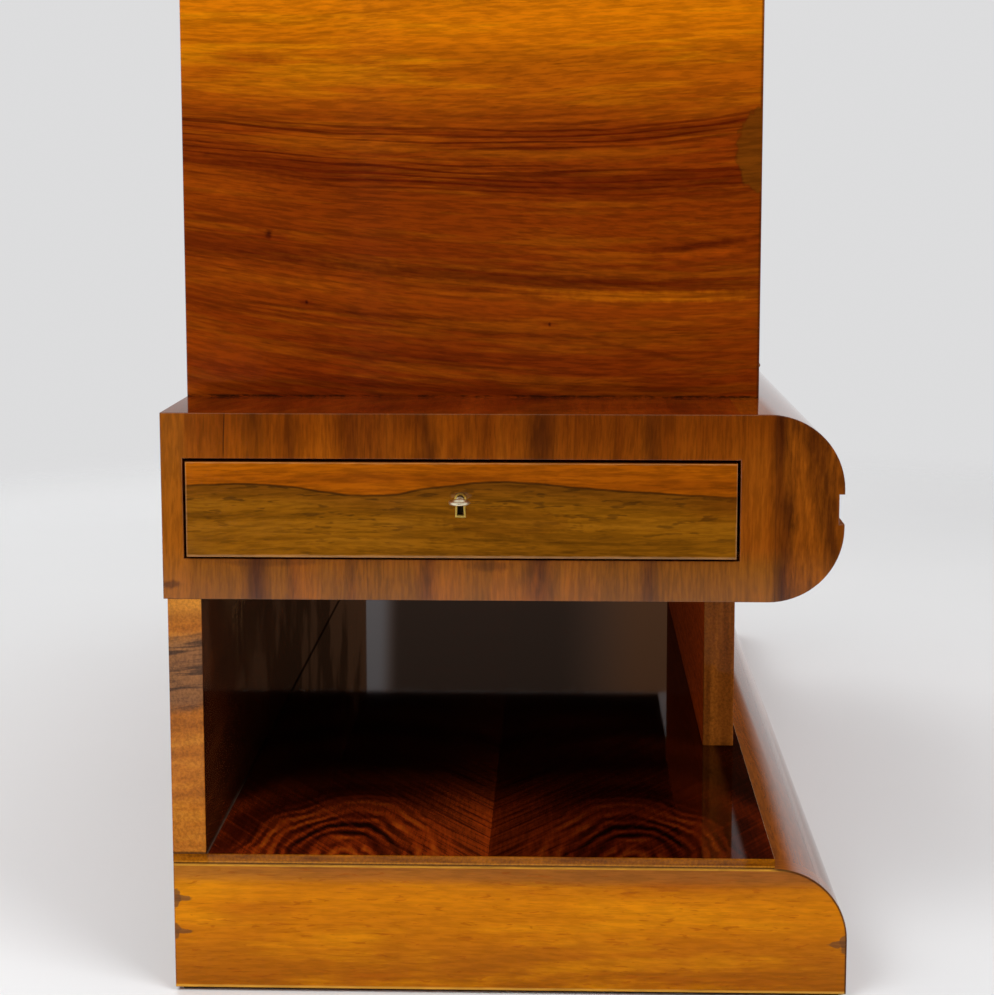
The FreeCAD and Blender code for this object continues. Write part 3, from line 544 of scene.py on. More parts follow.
def shelf_gloss(tree, place):
    """Lacquer thin on the ends and the glue line, and worn by use along the front ledge of the open tier."""
    used = between(tree, along(tree, place, 1), USED_LEDGE - 0.004, USED_LEDGE + 0.004, 0.12, 1.0)
    used = times(tree, used, scaled(tree, glue_and_shade_line(tree, place), -0.8, 1.0))
    return times(tree, thin_ends(0.35)(tree, place), used)


def shelf_rim(first, last):
    """Edges along the ends and the front of the shelf."""
    return outer_end(first, last) or max(first.y, last.y) < shelf_low.y + 0.0001


polished("shelf_board", "case",
         lacquered("figured_shelf_veneer", shelf_colour, "x", 6.4, 30.0, 0.2, gloss=shelf_gloss, wavy=0.6),
         0.0008, shelf_rim)

# Open tier: a full back panel and a short front panel carry the drawer case over the shelf.
# Blockboard veneered with walnut; the ends are edged with a golden strip full of dark flecks.
back_low, back_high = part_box("tier_back")
PANEL_STOPS = (0.3, 0.55, 0.75)


def tier_back_colour(tree, place, lines):
    """Dark inside, partly as painted shade of the open tier, with painted reflections in its wavy lacquer;
    brown outside; golden and flamed on the end strips, with a painted shadow line at their foot.
    """
    y, z = along(tree, place, 1), along(tree, place, 2)
    # Painted shade: the inside face gets darker tones than the outside face, partly for the shade inside the
    # open tier.
    inside = three_tones(tree, lines["Streak"], (40, 15, 5), (66, 27, 8), (92, 42, 13), PANEL_STOPS)
    outside = three_tones(tree, lines["Streak"], (84, 32, 5), (118, 50, 8), (140, 66, 12), PANEL_STOPS)
    inward = sums(tree, "SUBTRACT", END_FACE, sums(tree, "ABSOLUTE", along(tree, place, 0)))
    hazy = point(tree, inward, 0.0, z)
    # Painted reflection: pale streaks where the wavy lacquer of the inside face mirrors bright light.
    painted_reflection = spot(tree, hazy, (0.19, 0.0, 0.29), (0.13, 1.0, 0.13), 0.3, 0.2)
    painted_reflection = times(tree, painted_reflection, between(tree, cloud(tree, hazy, (46.0, 1.0, 13.0), 3.0, 0.6), 0.48, 0.58))
    inside = laid(tree, inside, (132, 100, 62), painted_reflection, 0.5)
    inside = mixed(tree, between(tree, y, back_high.y - 0.0012, back_high.y - 0.0006), inside, outside)
    level = point(tree, 0.0, y, scaled(tree, y, 0.1, z))
    flame = cloud(tree, level, (1.0, 20.0, 200.0), 4.0, 0.55, 0.35)
    zone = end_spot(tree, level, 0.24, 0.271, 0.09, 0.034, 0.12, 0.6)
    gold = cloud(tree, level, (1.0, 14.0, 66.0), 4.0, 0.6)
    gold = three_tones(tree, gold, (128, 68, 16), (160, 92, 24), (180, 112, 32), (0.28, 0.5, 0.72))
    gold = laid(tree, gold, (200, 134, 50), between(tree, z, 0.28, 0.3, 0.0, 0.4))
    gold = laid(tree, gold, (112, 76, 48), zone, 0.8)
    gold = laid(tree, gold, (60, 38, 24), times(tree, between(tree, flame, 0.46, 0.6, 0.0, 0.9), zone))
    rare = times(tree, between(tree, flame, 0.62, 0.72, 0.0, 0.7), between(tree, z, 0.15, 0.13))
    gold = laid(tree, gold, (92, 56, 28), rare)
    # Painted shadow: a dark line at the foot of the end strips, in the narrow gap between the panel and the
    # shelf.
    foot = between(tree, z, back_low.z + 0.0023, back_low.z + 0.0009, 0.0, 0.8)
    gold = laid(tree, gold, (44, 24, 10), foot)
    return mixed(tree, on_end(tree, place), inside, gold)


def tier_back_gloss(tree, place):
    """Lacquer thin on the end strips and gone dull in upright patches on the faces."""
    patchy = between(tree, cloud(tree, place, (9.0, 1.0, 7.0), 3.0, 0.55), 0.44, 0.56, 0.45, 1.0)
    return times(tree, thin_ends(0.35)(tree, place), patchy)


polished("tier_back", "case",
         lacquered("tier_back_veneer", tier_back_colour, "x", 7.7, 22.0, 0.25,
                   gloss=tier_back_gloss, wavy=2.0))
panel_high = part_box("tier_front")[1]


def tier_front_colour(tree, place, lines):
    """Brown in front, reddish on the inner face, with upright grain on the end strips."""
    face = three_tones(tree, lines["Streak"], (104, 40, 6), (142, 60, 8), (166, 80, 12), PANEL_STOPS)
    inner = between(tree, along(tree, place, 1), panel_high.y - 0.0012, panel_high.y - 0.0004)
    face = laid(tree, face, (196, 72, 12), inner)
    post = cloud(tree, place, (20.0, 130.0, 7.0), 4.0)
    post = shaded(tree, post, (0.3, (92, 44, 12)), (0.7, (140, 76, 22)))
    return mixed(tree, on_end(tree, place, face=panel_high.x), face, post)


polished("tier_front", "case",
         lacquered("tier_front_veneer", tier_front_colour, "x", 8.9, 24.0, 0.25, gloss=0.1))

# Drawer case: floor, roof and back boards, a rounded nose along the front with a groove in it.
# The ends are faced with cross-grained walnut, its streaks upright; the underside is only stained.
facing_low, facing_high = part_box("case_facing_right")
FACING_EDGES = (Vector((-END_FACE, facing_low.y, facing_low.z)), facing_high)
UPRIGHT_STREAKS = ((0.184, 0.014, 0.9), (0.158, 0.008, 0.6), (0.058, 0.012, 0.75), (-0.022, 0.02, 0.85),
                   (-0.103, 0.011, 0.7), (-0.203, 0.013, 1.0), (0.115, 0.007, 0.45), (-0.236, 0.006, 0.4))
# The first patch is a water stain; the other two are painted shadow cast by the drawer front onto the facing
# just below its opening.
STAINS_AND_DRAWER_SHADOWS = ((0.249, 0.3135, 0.013, 0.004, 0.7), (0.012, 0.3285, 0.022, 0.006, 0.55),
                (0.175, 0.3305, 0.05, 0.004, 0.45))
NOSE_JOINT_Y = -0.196
CRACK_Y = 0.2055


def facing_colour(tree, place, lines):
    """Upright dark streaks on brown, a mottled nose past its joint, a crack, a water stain, and painted
    shadow in soft patches just under the drawer opening.
    """
    y, z = along(tree, place, 1), along(tree, place, 2)
    y_bent = sums(tree, "ADD", y, swung(tree, cloud(tree, place, (1.0, 9.0, 5.0)), 0.016))
    base = three_tones(tree, lines["Streak"], (104, 46, 6), (124, 60, 8), (142, 74, 12), (0.28, 0.5, 0.72))
    below = between(tree, z, 0.345, 0.325)
    base = laid(tree, base, (118, 72, 6), below, 0.55)
    fade = cloud(tree, place, (1.0, 26.0, 11.0), 3.0, 0.6)
    for centre, half, share in UPRIGHT_STREAKS:
        near = between(tree, apart(tree, y_bent, centre), half, 0.0)
        deep = between(tree, fade, 0.3, 0.6, 0.55 * share, share)
        deep = sums(tree, "MAXIMUM", deep, times(tree, below, share))
        base = laid(tree, base, (66, 28, 7), times(tree, near, deep))
    glow = cloud(tree, place, (1.0, 22.0, 7.0), 4.0, 0.6)
    base = laid(tree, base, (160, 82, 8), between(tree, glow, 0.48, 0.66, 0.0, 0.4))
    base = mixed(tree, between(tree, z, 0.4, 0.436, 0.0, 0.55), base, tint(190, 160, 120), "MULTIPLY")
    base = laid(tree, base, (150, 84, 18), between(tree, y_bent, 0.232, 0.238, 0.0, 0.6))
    mottle = cloud(tree, place, (1.0, 60.0, 14.0), 5.0, 0.65)
    mottle = three_tones(tree, mottle, (66, 29, 6), (120, 60, 10), (154, 80, 14), (0.4, 0.55, 0.7))
    nose = between(tree, y_bent, NOSE_JOINT_Y - 0.004, NOSE_JOINT_Y - 0.012)
    base = mixed(tree, times(tree, nose, 0.75), base, mottle)
    joint = between(tree, apart(tree, y, NOSE_JOINT_Y), 0.0007, 0.0002, 0.0, 0.4)
    base = laid(tree, base, (70, 32, 10), joint)
    crack = between(tree, apart(tree, y_bent, CRACK_Y), 0.0007, 0.0002)
    base = laid(tree, base, (40, 18, 8), times(tree, crack, between(tree, z, 0.405, 0.415)), 0.8)
    # A stain and two patches of painted shadow under the drawer front, darkening the facing.
    for patch_y, patch_z, wide, high, share in STAINS_AND_DRAWER_SHADOWS:
        stain_and_shadow = end_spot(tree, place, patch_y, patch_z, wide, high, 0.5, 0.3)
        base = laid(tree, base, (70, 32, 6), stain_and_shadow, share)
    return laid(tree, base, (96, 56, 26), edge_wear(tree, place, FACING_EDGES, 0.0018), 0.4)


facing_veneer = lacquered("crossband_facing_veneer", facing_colour, "z", 9.4, 42.0, 0.16, 0.9)
for side in ("left", "right"):
    polished("case_facing_" + side, "case", facing_veneer, 0.0006, outer_end)


def case_colour(tree, place, lines):
    """Reddish walnut with darker patches."""
    base = three_tones(tree, lines["Streak"], (76, 24, 4), (106, 37, 5), (126, 50, 8))
    patch = cloud(tree, place, (2.0, 14.0, 14.0), 4.0, 0.6)
    return laid(tree, base, (70, 24, 6), between(tree, patch, 0.55, 0.7, 0.0, 0.5))


case_veneer = lacquered("drawer_case_veneer", case_colour, "x", 10.3, 26.0, 0.3)
for name in ("case_roof", "case_back"):
    polished(name, "case", case_veneer)


def nose_colour(tree, place, lines):
    """Plain brown walnut, bent round the nose."""
    return three_tones(tree, lines["Streak"], (92, 37, 5), (122, 54, 6), (144, 72, 11))


polished("case_nose", "case", lacquered("case_nose_veneer", nose_colour, "x", 10.9, 26.0, 0.3))
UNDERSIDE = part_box("case_floor")[0].z


def above_underside(tree, place):
    """Mask of all but the underside, which is stained dark and has no lacquer."""
    return between(tree, along(tree, place, 2), UNDERSIDE + 0.0003, UNDERSIDE + 0.0008)


def case_floor_colour(tree, place, lines):
    """The case's walnut, and dark stain underneath."""
    stain = shaded(tree, lines["Streak"], (0.3, (14, 6, 3)), (0.7, (24, 10, 5)))
    return mixed(tree, above_underside(tree, place), stain, case_colour(tree, place, lines))


polished("case_floor", "case",
         lacquered("case_floor_veneer", case_floor_colour, "x", 2.7, 30.0, 0.3, gloss=above_underside))
dress(bare_wood("drawer_case_beech", (168, 122, 76), (134, 92, 54), "x", 3.3, 36.0),
      "case_bulkheads", "drawer_runners", "drawer_stops")

# Drawers: one in each end of the case, a veneered front lap-dovetailed to two beech sides.
# The front is one sheet of walnut with the line between sapwood and heartwood wandering along it.
front_low, front_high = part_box("drawer_front_left")
FRONT_EDGES = (front_low, Vector((-front_low.x, front_high.y, front_high.z)))
SAP_LINE = ((0.0, 0.62), (0.116, 0.7), (0.26, 0.41), (0.337, 0.29), (0.424, 0.52), (0.496, 0.71),
            (0.569, 0.81), (0.641, 0.74), (0.75, 0.56), (0.895, 0.37), (1.0, 0.25))
SAP_LOW, SAP_HIGH = 0.375, 0.395
SUNK = 0.0012


def above_sap_line(tree, place):
    """How far a place lies above the line between sapwood and heartwood."""
    share = sums(tree, "SUBTRACT", front_high.y, along(tree, place, 1))
    share = sums(tree, "DIVIDE", share, front_high.y - front_low.y)
    trace = wire(tree, "ShaderNodeFloatCurve", {"Value": share})
    steps = trace.mapping.curves[0].points
    for _ in SAP_LINE[2:]:
        steps.new(0.5, 0.5)
    for step, at in zip(steps, SAP_LINE):
        step.location = at
    trace.mapping.update()
    shiver = swung(tree, cloud(tree, place, (1.0, 55.0, 30.0), 3.0), 0.0022)
    line = scaled(tree, trace.outputs[0], SAP_HIGH - SAP_LOW, SAP_LOW)
    return sums(tree, "SUBTRACT", sums(tree, "ADD", along(tree, place, 2), shiver), line)


def drawer_colour(tree, place, lines):
    """Orange sapwood above an inky line, olive heartwood with dark flecks below it."""
    above = above_sap_line(tree, place)
    sap = three_tones(tree, lines["Streak"], (130, 60, 4), (156, 80, 4), (172, 94, 8), (0.3, 0.55, 0.8))
    heart = three_tones(tree, lines["Streak"], (92, 52, 6), (124, 74, 8), (140, 88, 16))
    heart = laid(tree, heart, (98, 52, 8), between(tree, above, -0.017, -0.003, 0.0, 0.6))
    flecks = between(tree, cloud(tree, place, (1.0, 60.0, 330.0)), 0.58, 0.68)
    flecks = times(tree, flecks, between(tree, above, -0.04, -0.012, 0.35, 0.75))
    heart = laid(tree, heart, (74, 42, 8), flecks)
    base = mixed(tree, between(tree, above, -0.0006, 0.0006), heart, sap)
    ink = between(tree, sums(tree, "ABSOLUTE", above), 0.0013, 0.0003, 0.0, 0.7)
    base = laid(tree, base, (44, 24, 6), ink)
    base = laid(tree, base, (92, 48, 4), end_spot(tree, place, 0.0, 0.362, 0.05, 0.012, 0.5), 0.35)
    warm_end = end_spot(tree, place, -0.18, 0.372, 0.08, 0.018, 0.3, 0.2)
    base = laid(tree, base, (94, 44, 3), warm_end, 0.5)
    return laid(tree, base, (170, 116, 56), edge_wear(tree, place, FRONT_EDGES, 0.002), 0.42)


def sunk(board):
    """A drawer front whose lower edge hangs deeper in its opening, as on worn runners."""
    pick(board)
    bpy.ops.object.mode_set(mode="EDIT")
    bpy.ops.mesh.select_mode(type="VERT")
    bpy.ops.mesh.select_all(action="DESELECT")
    bpy.ops.object.mode_set(mode="OBJECT")
    for corner in board.data.vertices:
        corner.select = corner.co.z < front_low.z + 0.0008
    bpy.ops.object.mode_set(mode="EDIT")
    bpy.ops.transform.translate(value=(0.0, 0.0, -SUNK))
    bpy.ops.object.mode_set(mode="OBJECT")


drawer_veneer = lacquered("drawer_front_veneer", drawer_colour, "y", 11.8, 60.0, 0.3)
drawer_beech = bare_wood("drawer_side_beech", (186, 140, 88), (154, 108, 62), "x", 4.4, 44.0)
drawer_ply = bare_wood("drawer_bottom_plywood", (196, 156, 104), (170, 126, 78), "y", 5.1, 30.0)
for side in ("left", "right"):
    sunk(polished("drawer_front_" + side, "drawer_" + side, drawer_veneer,
                  0.0006, outer_end))
    dress(drawer_beech, "drawer_sides_" + side, "drawer_back_" + side)
    dress(drawer_ply, "drawer_bottom_" + side)

# Locks: a brass keyhole bush in each drawer and in the flap, a steel lock behind it and its own key.
# The bush is cast and filed flush; the key is a drilled steel stem with a ring bow, plated and worn.
KEY_BELOW_TOP = 0.0265
DRAWER_BOARD, FLAP_BOARD = 0.02, 0.022
BOW_AT = (0.0, 0.0, -0.0145)
BOW_RADIUS, BOW_WIRE = 0.0062, 0.0016
STEM, COLLAR = 0.0022, 0.0029
BIT = (0.0068, 0.0017, 0.006)


def metal(name, bright, dull, roughness):
    """Metal that handling has brightened in places and air has dulled in others."""
    made, tree, shader, place = fresh_material(name)
    film = even_cloud(tree, place, 70.0, 5.0, 0.65)
    plug(tree, shader, {
        "Metallic": 1.0,
        "Base Color": mixed(tree, between(tree, film, 0.42, 0.7), tint(*bright), tint(*dull)),
        "Roughness": scaled(tree, film, 0.25, roughness - 0.1),
        "Normal": bumped(tree, cloud(tree, place, (900.0, 120.0, 900.0)), 0.1, 0.0001),
    })
    return made


brass = metal("aged_brass", (246, 208, 104), (196, 148, 66), 0.34)
key_steel = metal("plated_key_steel", (240, 228, 196), (196, 176, 134), 0.3)
lock_steel = metal("lock_steel", (142, 138, 132), (88, 82, 76), 0.42)


def by_hand(kind, **shape):
    """A new primitive to shape, with everything else let go of."""
    bpy.ops.object.select_all(action="DESELECT")
    getattr(bpy.ops.mesh, kind)(**shape)
    return bpy.context.view_layer.objects.active


def lathe(sides, rings):
    """A turned piece along +z: a disc drawn out ring by ring, each a height and a radius."""
    piece = by_hand("primitive_circle_add", vertices=sides, radius=rings[0][1], fill_type="NGON",
                    location=(0.0, 0.0, rings[0][0]))
    bpy.ops.object.transform_apply(location=True)
    bpy.ops.object.mode_set(mode="EDIT")
    bpy.ops.mesh.select_mode(type="FACE")
    for (low, inner), (high, outer) in zip(rings, rings[1:]):
        bpy.ops.mesh.extrude_region_move(TRANSFORM_OT_translate={"value": (0.0, 0.0, high - low)})
        share = outer / inner
        bpy.ops.transform.resize(value=(share, share, 1.0), center_override=(0.0, 0.0, high))
    bpy.ops.mesh.select_all(action="SELECT")
    bpy.ops.mesh.normals_make_consistent(inside=False)
    bpy.ops.object.mode_set(mode="OBJECT")
    return piece


def joined(name, *pieces):
    """Several pieces made one."""
    pick(pieces[0])
    for piece in pieces[1:]:
        piece.select_set(True)
    bpy.ops.object.join()
    pieces[0].name = name
    return pieces[0]


def smooth(piece, degrees=35):
    """Curved faces shaded smooth, with edges sharper than this angle kept."""
    pick(piece)
    bpy.ops.object.shade_smooth_by_angle(angle=math.radians(degrees))


def seated(piece, matrix):
    """A piece moved to its place, with the place kept in its mesh."""
    pick(piece)
    piece.matrix_world = matrix
    bpy.ops.object.transform_apply(location=True, rotation=True, scale=True)


def door_key(name, board, matrix):
    """A key in its lock: ring bow, collared stem, and a bit inside the lock of a board this thick."""
    tip = board - 0.0017
    bow = by_hand("primitive_torus_add", major_segments=40, minor_segments=14, major_radius=BOW_RADIUS,
                  minor_radius=BOW_WIRE, location=BOW_AT)
    bpy.ops.object.transform_apply(location=True)
    bpy.ops.object.mode_set(mode="EDIT")
    bpy.ops.mesh.select_all(action="SELECT")
    bpy.ops.transform.rotate(value=math.pi / 2, orient_axis="X", center_override=BOW_AT)
    bpy.ops.transform.resize(value=(1.0, 0.9, 1.0), center_override=BOW_AT)
    bpy.ops.object.mode_set(mode="OBJECT")
    stem = lathe(20, [(-0.0085, BOW_WIRE), (-0.0075, STEM), (-0.0066, STEM), (-0.0064, COLLAR),
                      (-0.0056, COLLAR + 0.0002), (-0.0048, COLLAR), (-0.0046, STEM), (tip - 0.0004, STEM),
                      (tip, STEM - 0.0004)])
    bit = by_hand("primitive_cube_add", size=1.0, location=(0.0036, 0.0, tip - 0.0031))
    bpy.ops.transform.resize(value=BIT)
    bpy.ops.object.transform_apply(location=True, scale=True)
    bpy.ops.object.modifier_add(type="BEVEL")
    bit.modifiers[-1].width = 0.0003
    bit.modifiers[-1].segments = 2
    bpy.ops.object.modifier_apply(modifier=bit.modifiers[-1].name)
    key = joined(name, bow, stem, bit)
    seated(key, matrix)
    smooth(key)
    key.data.materials.append(key_steel)
    return key


def lock_places():
    """Where each lock sits: key body, turned so that +z of the key points into the board."""
    for side, out in (("left", -1.0), ("right", 1.0)):
        low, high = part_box("drawer_front_" + side)
        face = low.x if out < 0 else high.x
        turn = Matrix(((0, 0, -out), (1, 0, 0), (0, 1, 0))).to_4x4()
        place = (face, (low.y + high.y) / 2, high.z - KEY_BELOW_TOP)
        yield "drawer", side, Matrix.Translation(place) @ turn, DRAWER_BOARD
    low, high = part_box("flap_panel")
    turn = Matrix(((1, 0, 0), (0, 0, 1), (0, 1, 0))).to_4x4()
    place = (0.0, low.y, high.z - KEY_BELOW_TOP)
    yield "flap", "flap", Matrix.Translation(place) @ turn, FLAP_BOARD


for kind, side, matrix, board in lock_places():
    end = "" if kind == "flap" else "_" + side
    carrier = "flap" if kind == "flap" else "drawer_" + side
    key = door_key(kind + "_ring_key" + end, board, matrix)
    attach(key, "key_" + side)
    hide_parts(kind + "_key" + end)
    polished(kind + "_escutcheon" + end, carrier, brass)
    dress(lock_steel, kind + "_lock" + end, kind + "_bolt" + end)

# Bar body: two sides, a top with a rounded edge, a floor and a thin back panel in a rebate.
# The sides are single sheets of walnut, golden sapwood above and dark heartwood below, their grain sagging.
BAR_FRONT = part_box("bar_side_left")[0].y
LEVEL_FOOT, LEVEL_SPAN = 0.42, 0.5
THREADS_AT, THREADS = 0.415, 185.0
VEINS = (
    (-0.12, 0.5235, 0.16, 0.0062, 0.0, 0.95, (178, 94, 6)),
    (0.03, 0.5335, 0.3, 0.0085, 0.0, 0.65, (78, 22, 2)),
    (-0.15, 0.5605, 0.07, 0.004, -0.081, 0.75, (72, 18, 2)),
    (-0.155, 0.5545, 0.045, 0.0045, -0.05, 0.6, (158, 66, 5)),
    (-0.095, 0.482, 0.07, 0.0035, 0.196, 0.5, (78, 22, 2)),
    (0.115, 0.496, 0.18, 0.0026, -0.041, 0.5, (78, 22, 2)),
    (0.2, 0.7, 0.045, 0.009, 0.0, 0.6, (136, 56, 4)),
    (0.24, 0.594, 0.1, 0.03, 0.0, 0.4, (162, 72, 5)),
    (0.24, 0.45, 0.1, 0.018, 0.0, 0.4, (156, 66, 5)),
)
KNOTS = ((0.188, 0.552, 0.0045), (0.159, 0.499, 0.002), (-0.03, 0.4996, 0.0018))
REPAIR_AT = (-0.197, 0.6241)
REPAIR_LAYERS = ((0.0262, 0.0325, 0.5, (66, 30, 4)), (0.025, 0.0315, 0.75, (104, 53, 6)))


def straight(tree, value, low, high, out_low, out_high):
    """A value moved from one range into another in a straight line."""
    sockets = {"Value": value, "From Min": low, "From Max": high, "To Min": out_low, "To Max": out_high}
    return wire(tree, "ShaderNodeMapRange", sockets).outputs[0]


def sagging(tree, place):
    """The place with its height bent, so that level lines sag as the veneer's bands do."""
    x, y, z = (along(tree, place, axis) for axis in range(3))
    slope = straight(tree, z, 0.53, 0.66, 0.06, -0.018)
    sag = straight(tree, z, 0.64, 0.74, 0.26, 0.08)
    fall = scaled(tree, times(tree, y, y), sag, times(tree, slope, y))
    return point(tree, x, y, sums(tree, "SUBTRACT", z, fall))


def leaning(tree, place, y, lean):
    """The place tilted about a point of the veneer, for a vein that leans across the level lines."""
    here = along(tree, place, 1)
    lift = scaled(tree, here, -lean, lean * y)
    return point(tree, 0.0, here, sums(tree, "ADD", along(tree, place, 2), lift))


def bar_side_colour(tree, place, lines):
    """Bands from golden to dark, threads where they meet, veins, knots, a repair and an edged front."""
    y, z = along(tree, place, 1), along(tree, place, 2)
    level = sums(tree, "DIVIDE", sums(tree, "SUBTRACT", z, LEVEL_FOOT), LEVEL_SPAN)
    wobble = swung(tree, cloud(tree, place, (1.0, 2.5, 40.0), 5.0, 0.65), 0.034)
    base = shaded(
        tree, sums(tree, "ADD", level, wobble),
        (0.04, (122, 42, 3)), (0.12, (118, 44, 3)), (0.196, (132, 54, 4)), (0.226, (98, 33, 3)),
        (0.262, (112, 41, 3)), (0.31, (122, 47, 3)), (0.38, (118, 44, 3)), (0.445, (128, 50, 4)),
        (0.485, (148, 67, 4)), (0.55, (166, 82, 4)), (0.61, (194, 104, 3)), (0.78, (204, 112, 6)),
        (0.86, (160, 72, 4)), (0.95, (132, 54, 5)),
    )
    glow = between(tree, cloud(tree, place, (1.0, 5.0, 80.0), 5.0, 0.68), 0.47, 0.66, 0.0, 0.45)
    bright = three_tones(tree, level, (152, 76, 5), (172, 90, 5), (212, 132, 3), (0.4, 0.47, 0.56))
    base = mixed(tree, glow, base, bright)
    below = between(tree, level, 0.5, 0.44)
    close = between(tree, apart(tree, level, THREADS_AT), 0.075, 0.035, 0.22, 0.8)
    shake = times(tree, cloud(tree, place, (1.0, 3.0, 34.0), 3.0), 0.03)
    beat = times(tree, sums(tree, "ADD", z, shake), 2 * math.pi * THREADS)
    thread = between(tree, sums(tree, "SINE", beat), 0.1, 0.85)
    thread = times(tree, thread, between(tree, cloud(tree, place, (1.0, 3.0, 60.0), 3.0), 0.4, 0.58))
    base = laid(tree, base, (78, 20, 1), times(tree, times(tree, thread, close), below))
    for vein_y, vein_z, long, thick, lean, share, colour in VEINS:
        mask = end_spot(tree, leaning(tree, place, vein_y, lean), vein_y, vein_z, long, thick, 0.3, 0.1)
        base = laid(tree, base, colour, mask, share)
    dark = between(tree, cloud(tree, place, (1.0, 1.6, 60.0), 5.0, 0.62), 0.5, 0.66)
    base = laid(tree, base, (84, 22, 2), times(tree, dark, scaled(tree, below, 0.5, 0.12)))
    for knot_y, knot_z, wide in KNOTS:
        halo = end_spot(tree, place, knot_y, knot_z, 6 * wide, 1.8 * wide, 0.4, 0.0)
        base = laid(tree, base, (104, 28, 4), halo, 0.6)
        knot = end_spot(tree, place, knot_y, knot_z, wide, 1.3 * wide, 0.5, 0.0)
        base = laid(tree, base, (52, 12, 3), knot, 0.9)
    base = laid(tree, base, (70, 28, 4), between(tree, y, BAR_FRONT + 0.0026, BAR_FRONT + 0.0012, 0.0, 0.75))
    chips = between(tree, cloud(tree, place, (1.0, 60.0, 200.0), 4.0, 0.7), 0.42, 0.6)
    foot = scaled(tree, times(tree, y, y), -0.52, times(tree, y, -0.12))
    joint = between(tree, sums(tree, "SUBTRACT", level, foot), 0.047, 0.044)
    base = laid(tree, base, (34, 12, 3), times(tree, joint, chips), 0.85)
    smoke = between(tree, cloud(tree, place, (1.0, 13.0, 34.0), 5.0, 0.65), 0.5, 0.7, 0.0, 0.4)
    base = laid(tree, base, (146, 70, 5), times(tree, smoke, between(tree, level, 0.5, 0.58)))
    for wide, high, share, colour in REPAIR_LAYERS:
        base = laid(tree, base, colour, end_spot(tree, place, *REPAIR_AT, wide, high, 0.2, 0.9), share)
    edging = cloud(tree, place, (210.0, 210.0, 7.0), 4.0, 0.6)
    edging = three_tones(tree, edging, (78, 28, 4), (108, 44, 6), (132, 60, 9), (0.3, 0.5, 0.7))
    return mixed(tree, between(tree, y, BAR_FRONT + 0.0007, BAR_FRONT + 0.0002), base, edging)


bar_side_veneer = lacquered("bar_side_veneer", bar_side_colour, "y", 13.1, 55.0, 0.26, bend=sagging)
for side in ("left", "right"):
    polished("bar_side_" + side, "case", bar_side_veneer)


def bar_top_colour(tree, place, lines):
    """Plain golden walnut."""
    return three_tones(tree, lines["Streak"], (126, 54, 5), (168, 82, 6), (194, 106, 10))


polished("bar_top", "case", lacquered("bar_top_veneer", bar_top_colour, "x", 14.6, 30.0, 0.3))
FLOOR_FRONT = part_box("bar_floor")[0].y


def pale_walnut(tree, lines):
    """The pale walnut inside the bar."""
    return three_tones(tree, lines["Streak"], (150, 88, 28), (182, 118, 48), (204, 142, 68))


def bar_inside_colour(tree, place, lines):
    """Pale on the faces, with a dark strip along the front edge."""
    edge = three_tones(tree, lines["Streak"], (84, 32, 4), (116, 48, 5), (140, 64, 8))
    front = between(tree, along(tree, place, 1), FLOOR_FRONT + 0.0012, FLOOR_FRONT + 0.0008)
    return mixed(tree, front, pale_walnut(tree, lines), edge)


polished("bar_floor", "case",
         lacquered("bar_inside_veneer", bar_inside_colour, "x", 15.2, 30.0, 0.2))
dress(bare_wood("back_panel_plywood", (178, 130, 78), (146, 99, 54), "x", 16.8, 48.0), "bar_back")
dress(bare_wood("bar_bead_walnut", (122, 66, 26), (84, 42, 16), "x", 17.4, 50.0), "mirror_beads", "flap_stop")

# Bar fittings: a silvered mirror against the back, and a glass shelf lying on four brass pins.
# The mirror is held by mitred beads; its silver has gone cloudy along the rim, as old mirrors do.
mirror_low, mirror_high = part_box("mirror_glass")
MIRROR_DEEP = Vector((0.0, 0.02, 0.0))
silver, tree, shader, place = fresh_material("clouded_mirror")
clouding = edge_wear(tree, place, (mirror_low - MIRROR_DEEP, mirror_high + MIRROR_DEEP), 0.02)
spots = between(tree, even_cloud(tree, place, 60.0, 4.0, 0.7), 0.62, 0.72)
bad = times(tree, clouding, scaled(tree, spots, 0.6, 0.3))
plug(tree, shader, {
    "Metallic": 1.0,
    "Base Color": mixed(tree, bad, tint(226, 230, 228), tint(110, 100, 88)),
    "Roughness": scaled(tree, bad, 0.4, 0.03),
})
dress(silver, "mirror_glass")

pane, tree, shader, place = fresh_material("shelf_glass")
plug(tree, shader, {
    "Transmission Weight": 1.0,
    "IOR": 1.5,
    "Base Color": mixed(tree, even_cloud(tree, place, 5.0), tint(226, 242, 234), tint(238, 248, 242)),
    "Roughness": between(tree, even_cloud(tree, place, 30.0, 4.0), 0.5, 0.8, 0.01, 0.06),
})
dress(pane, "glass_shelf")
dress(brass, "shelf_pins")

# Flap: the drop front of the bar, hung on a full-length hinge and held level by two slotted stays.
# One board faced with book-matched leaves of figured walnut, plain walnut inside.
flap_low, flap_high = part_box("flap_panel")
ARCH_AT = 0.19


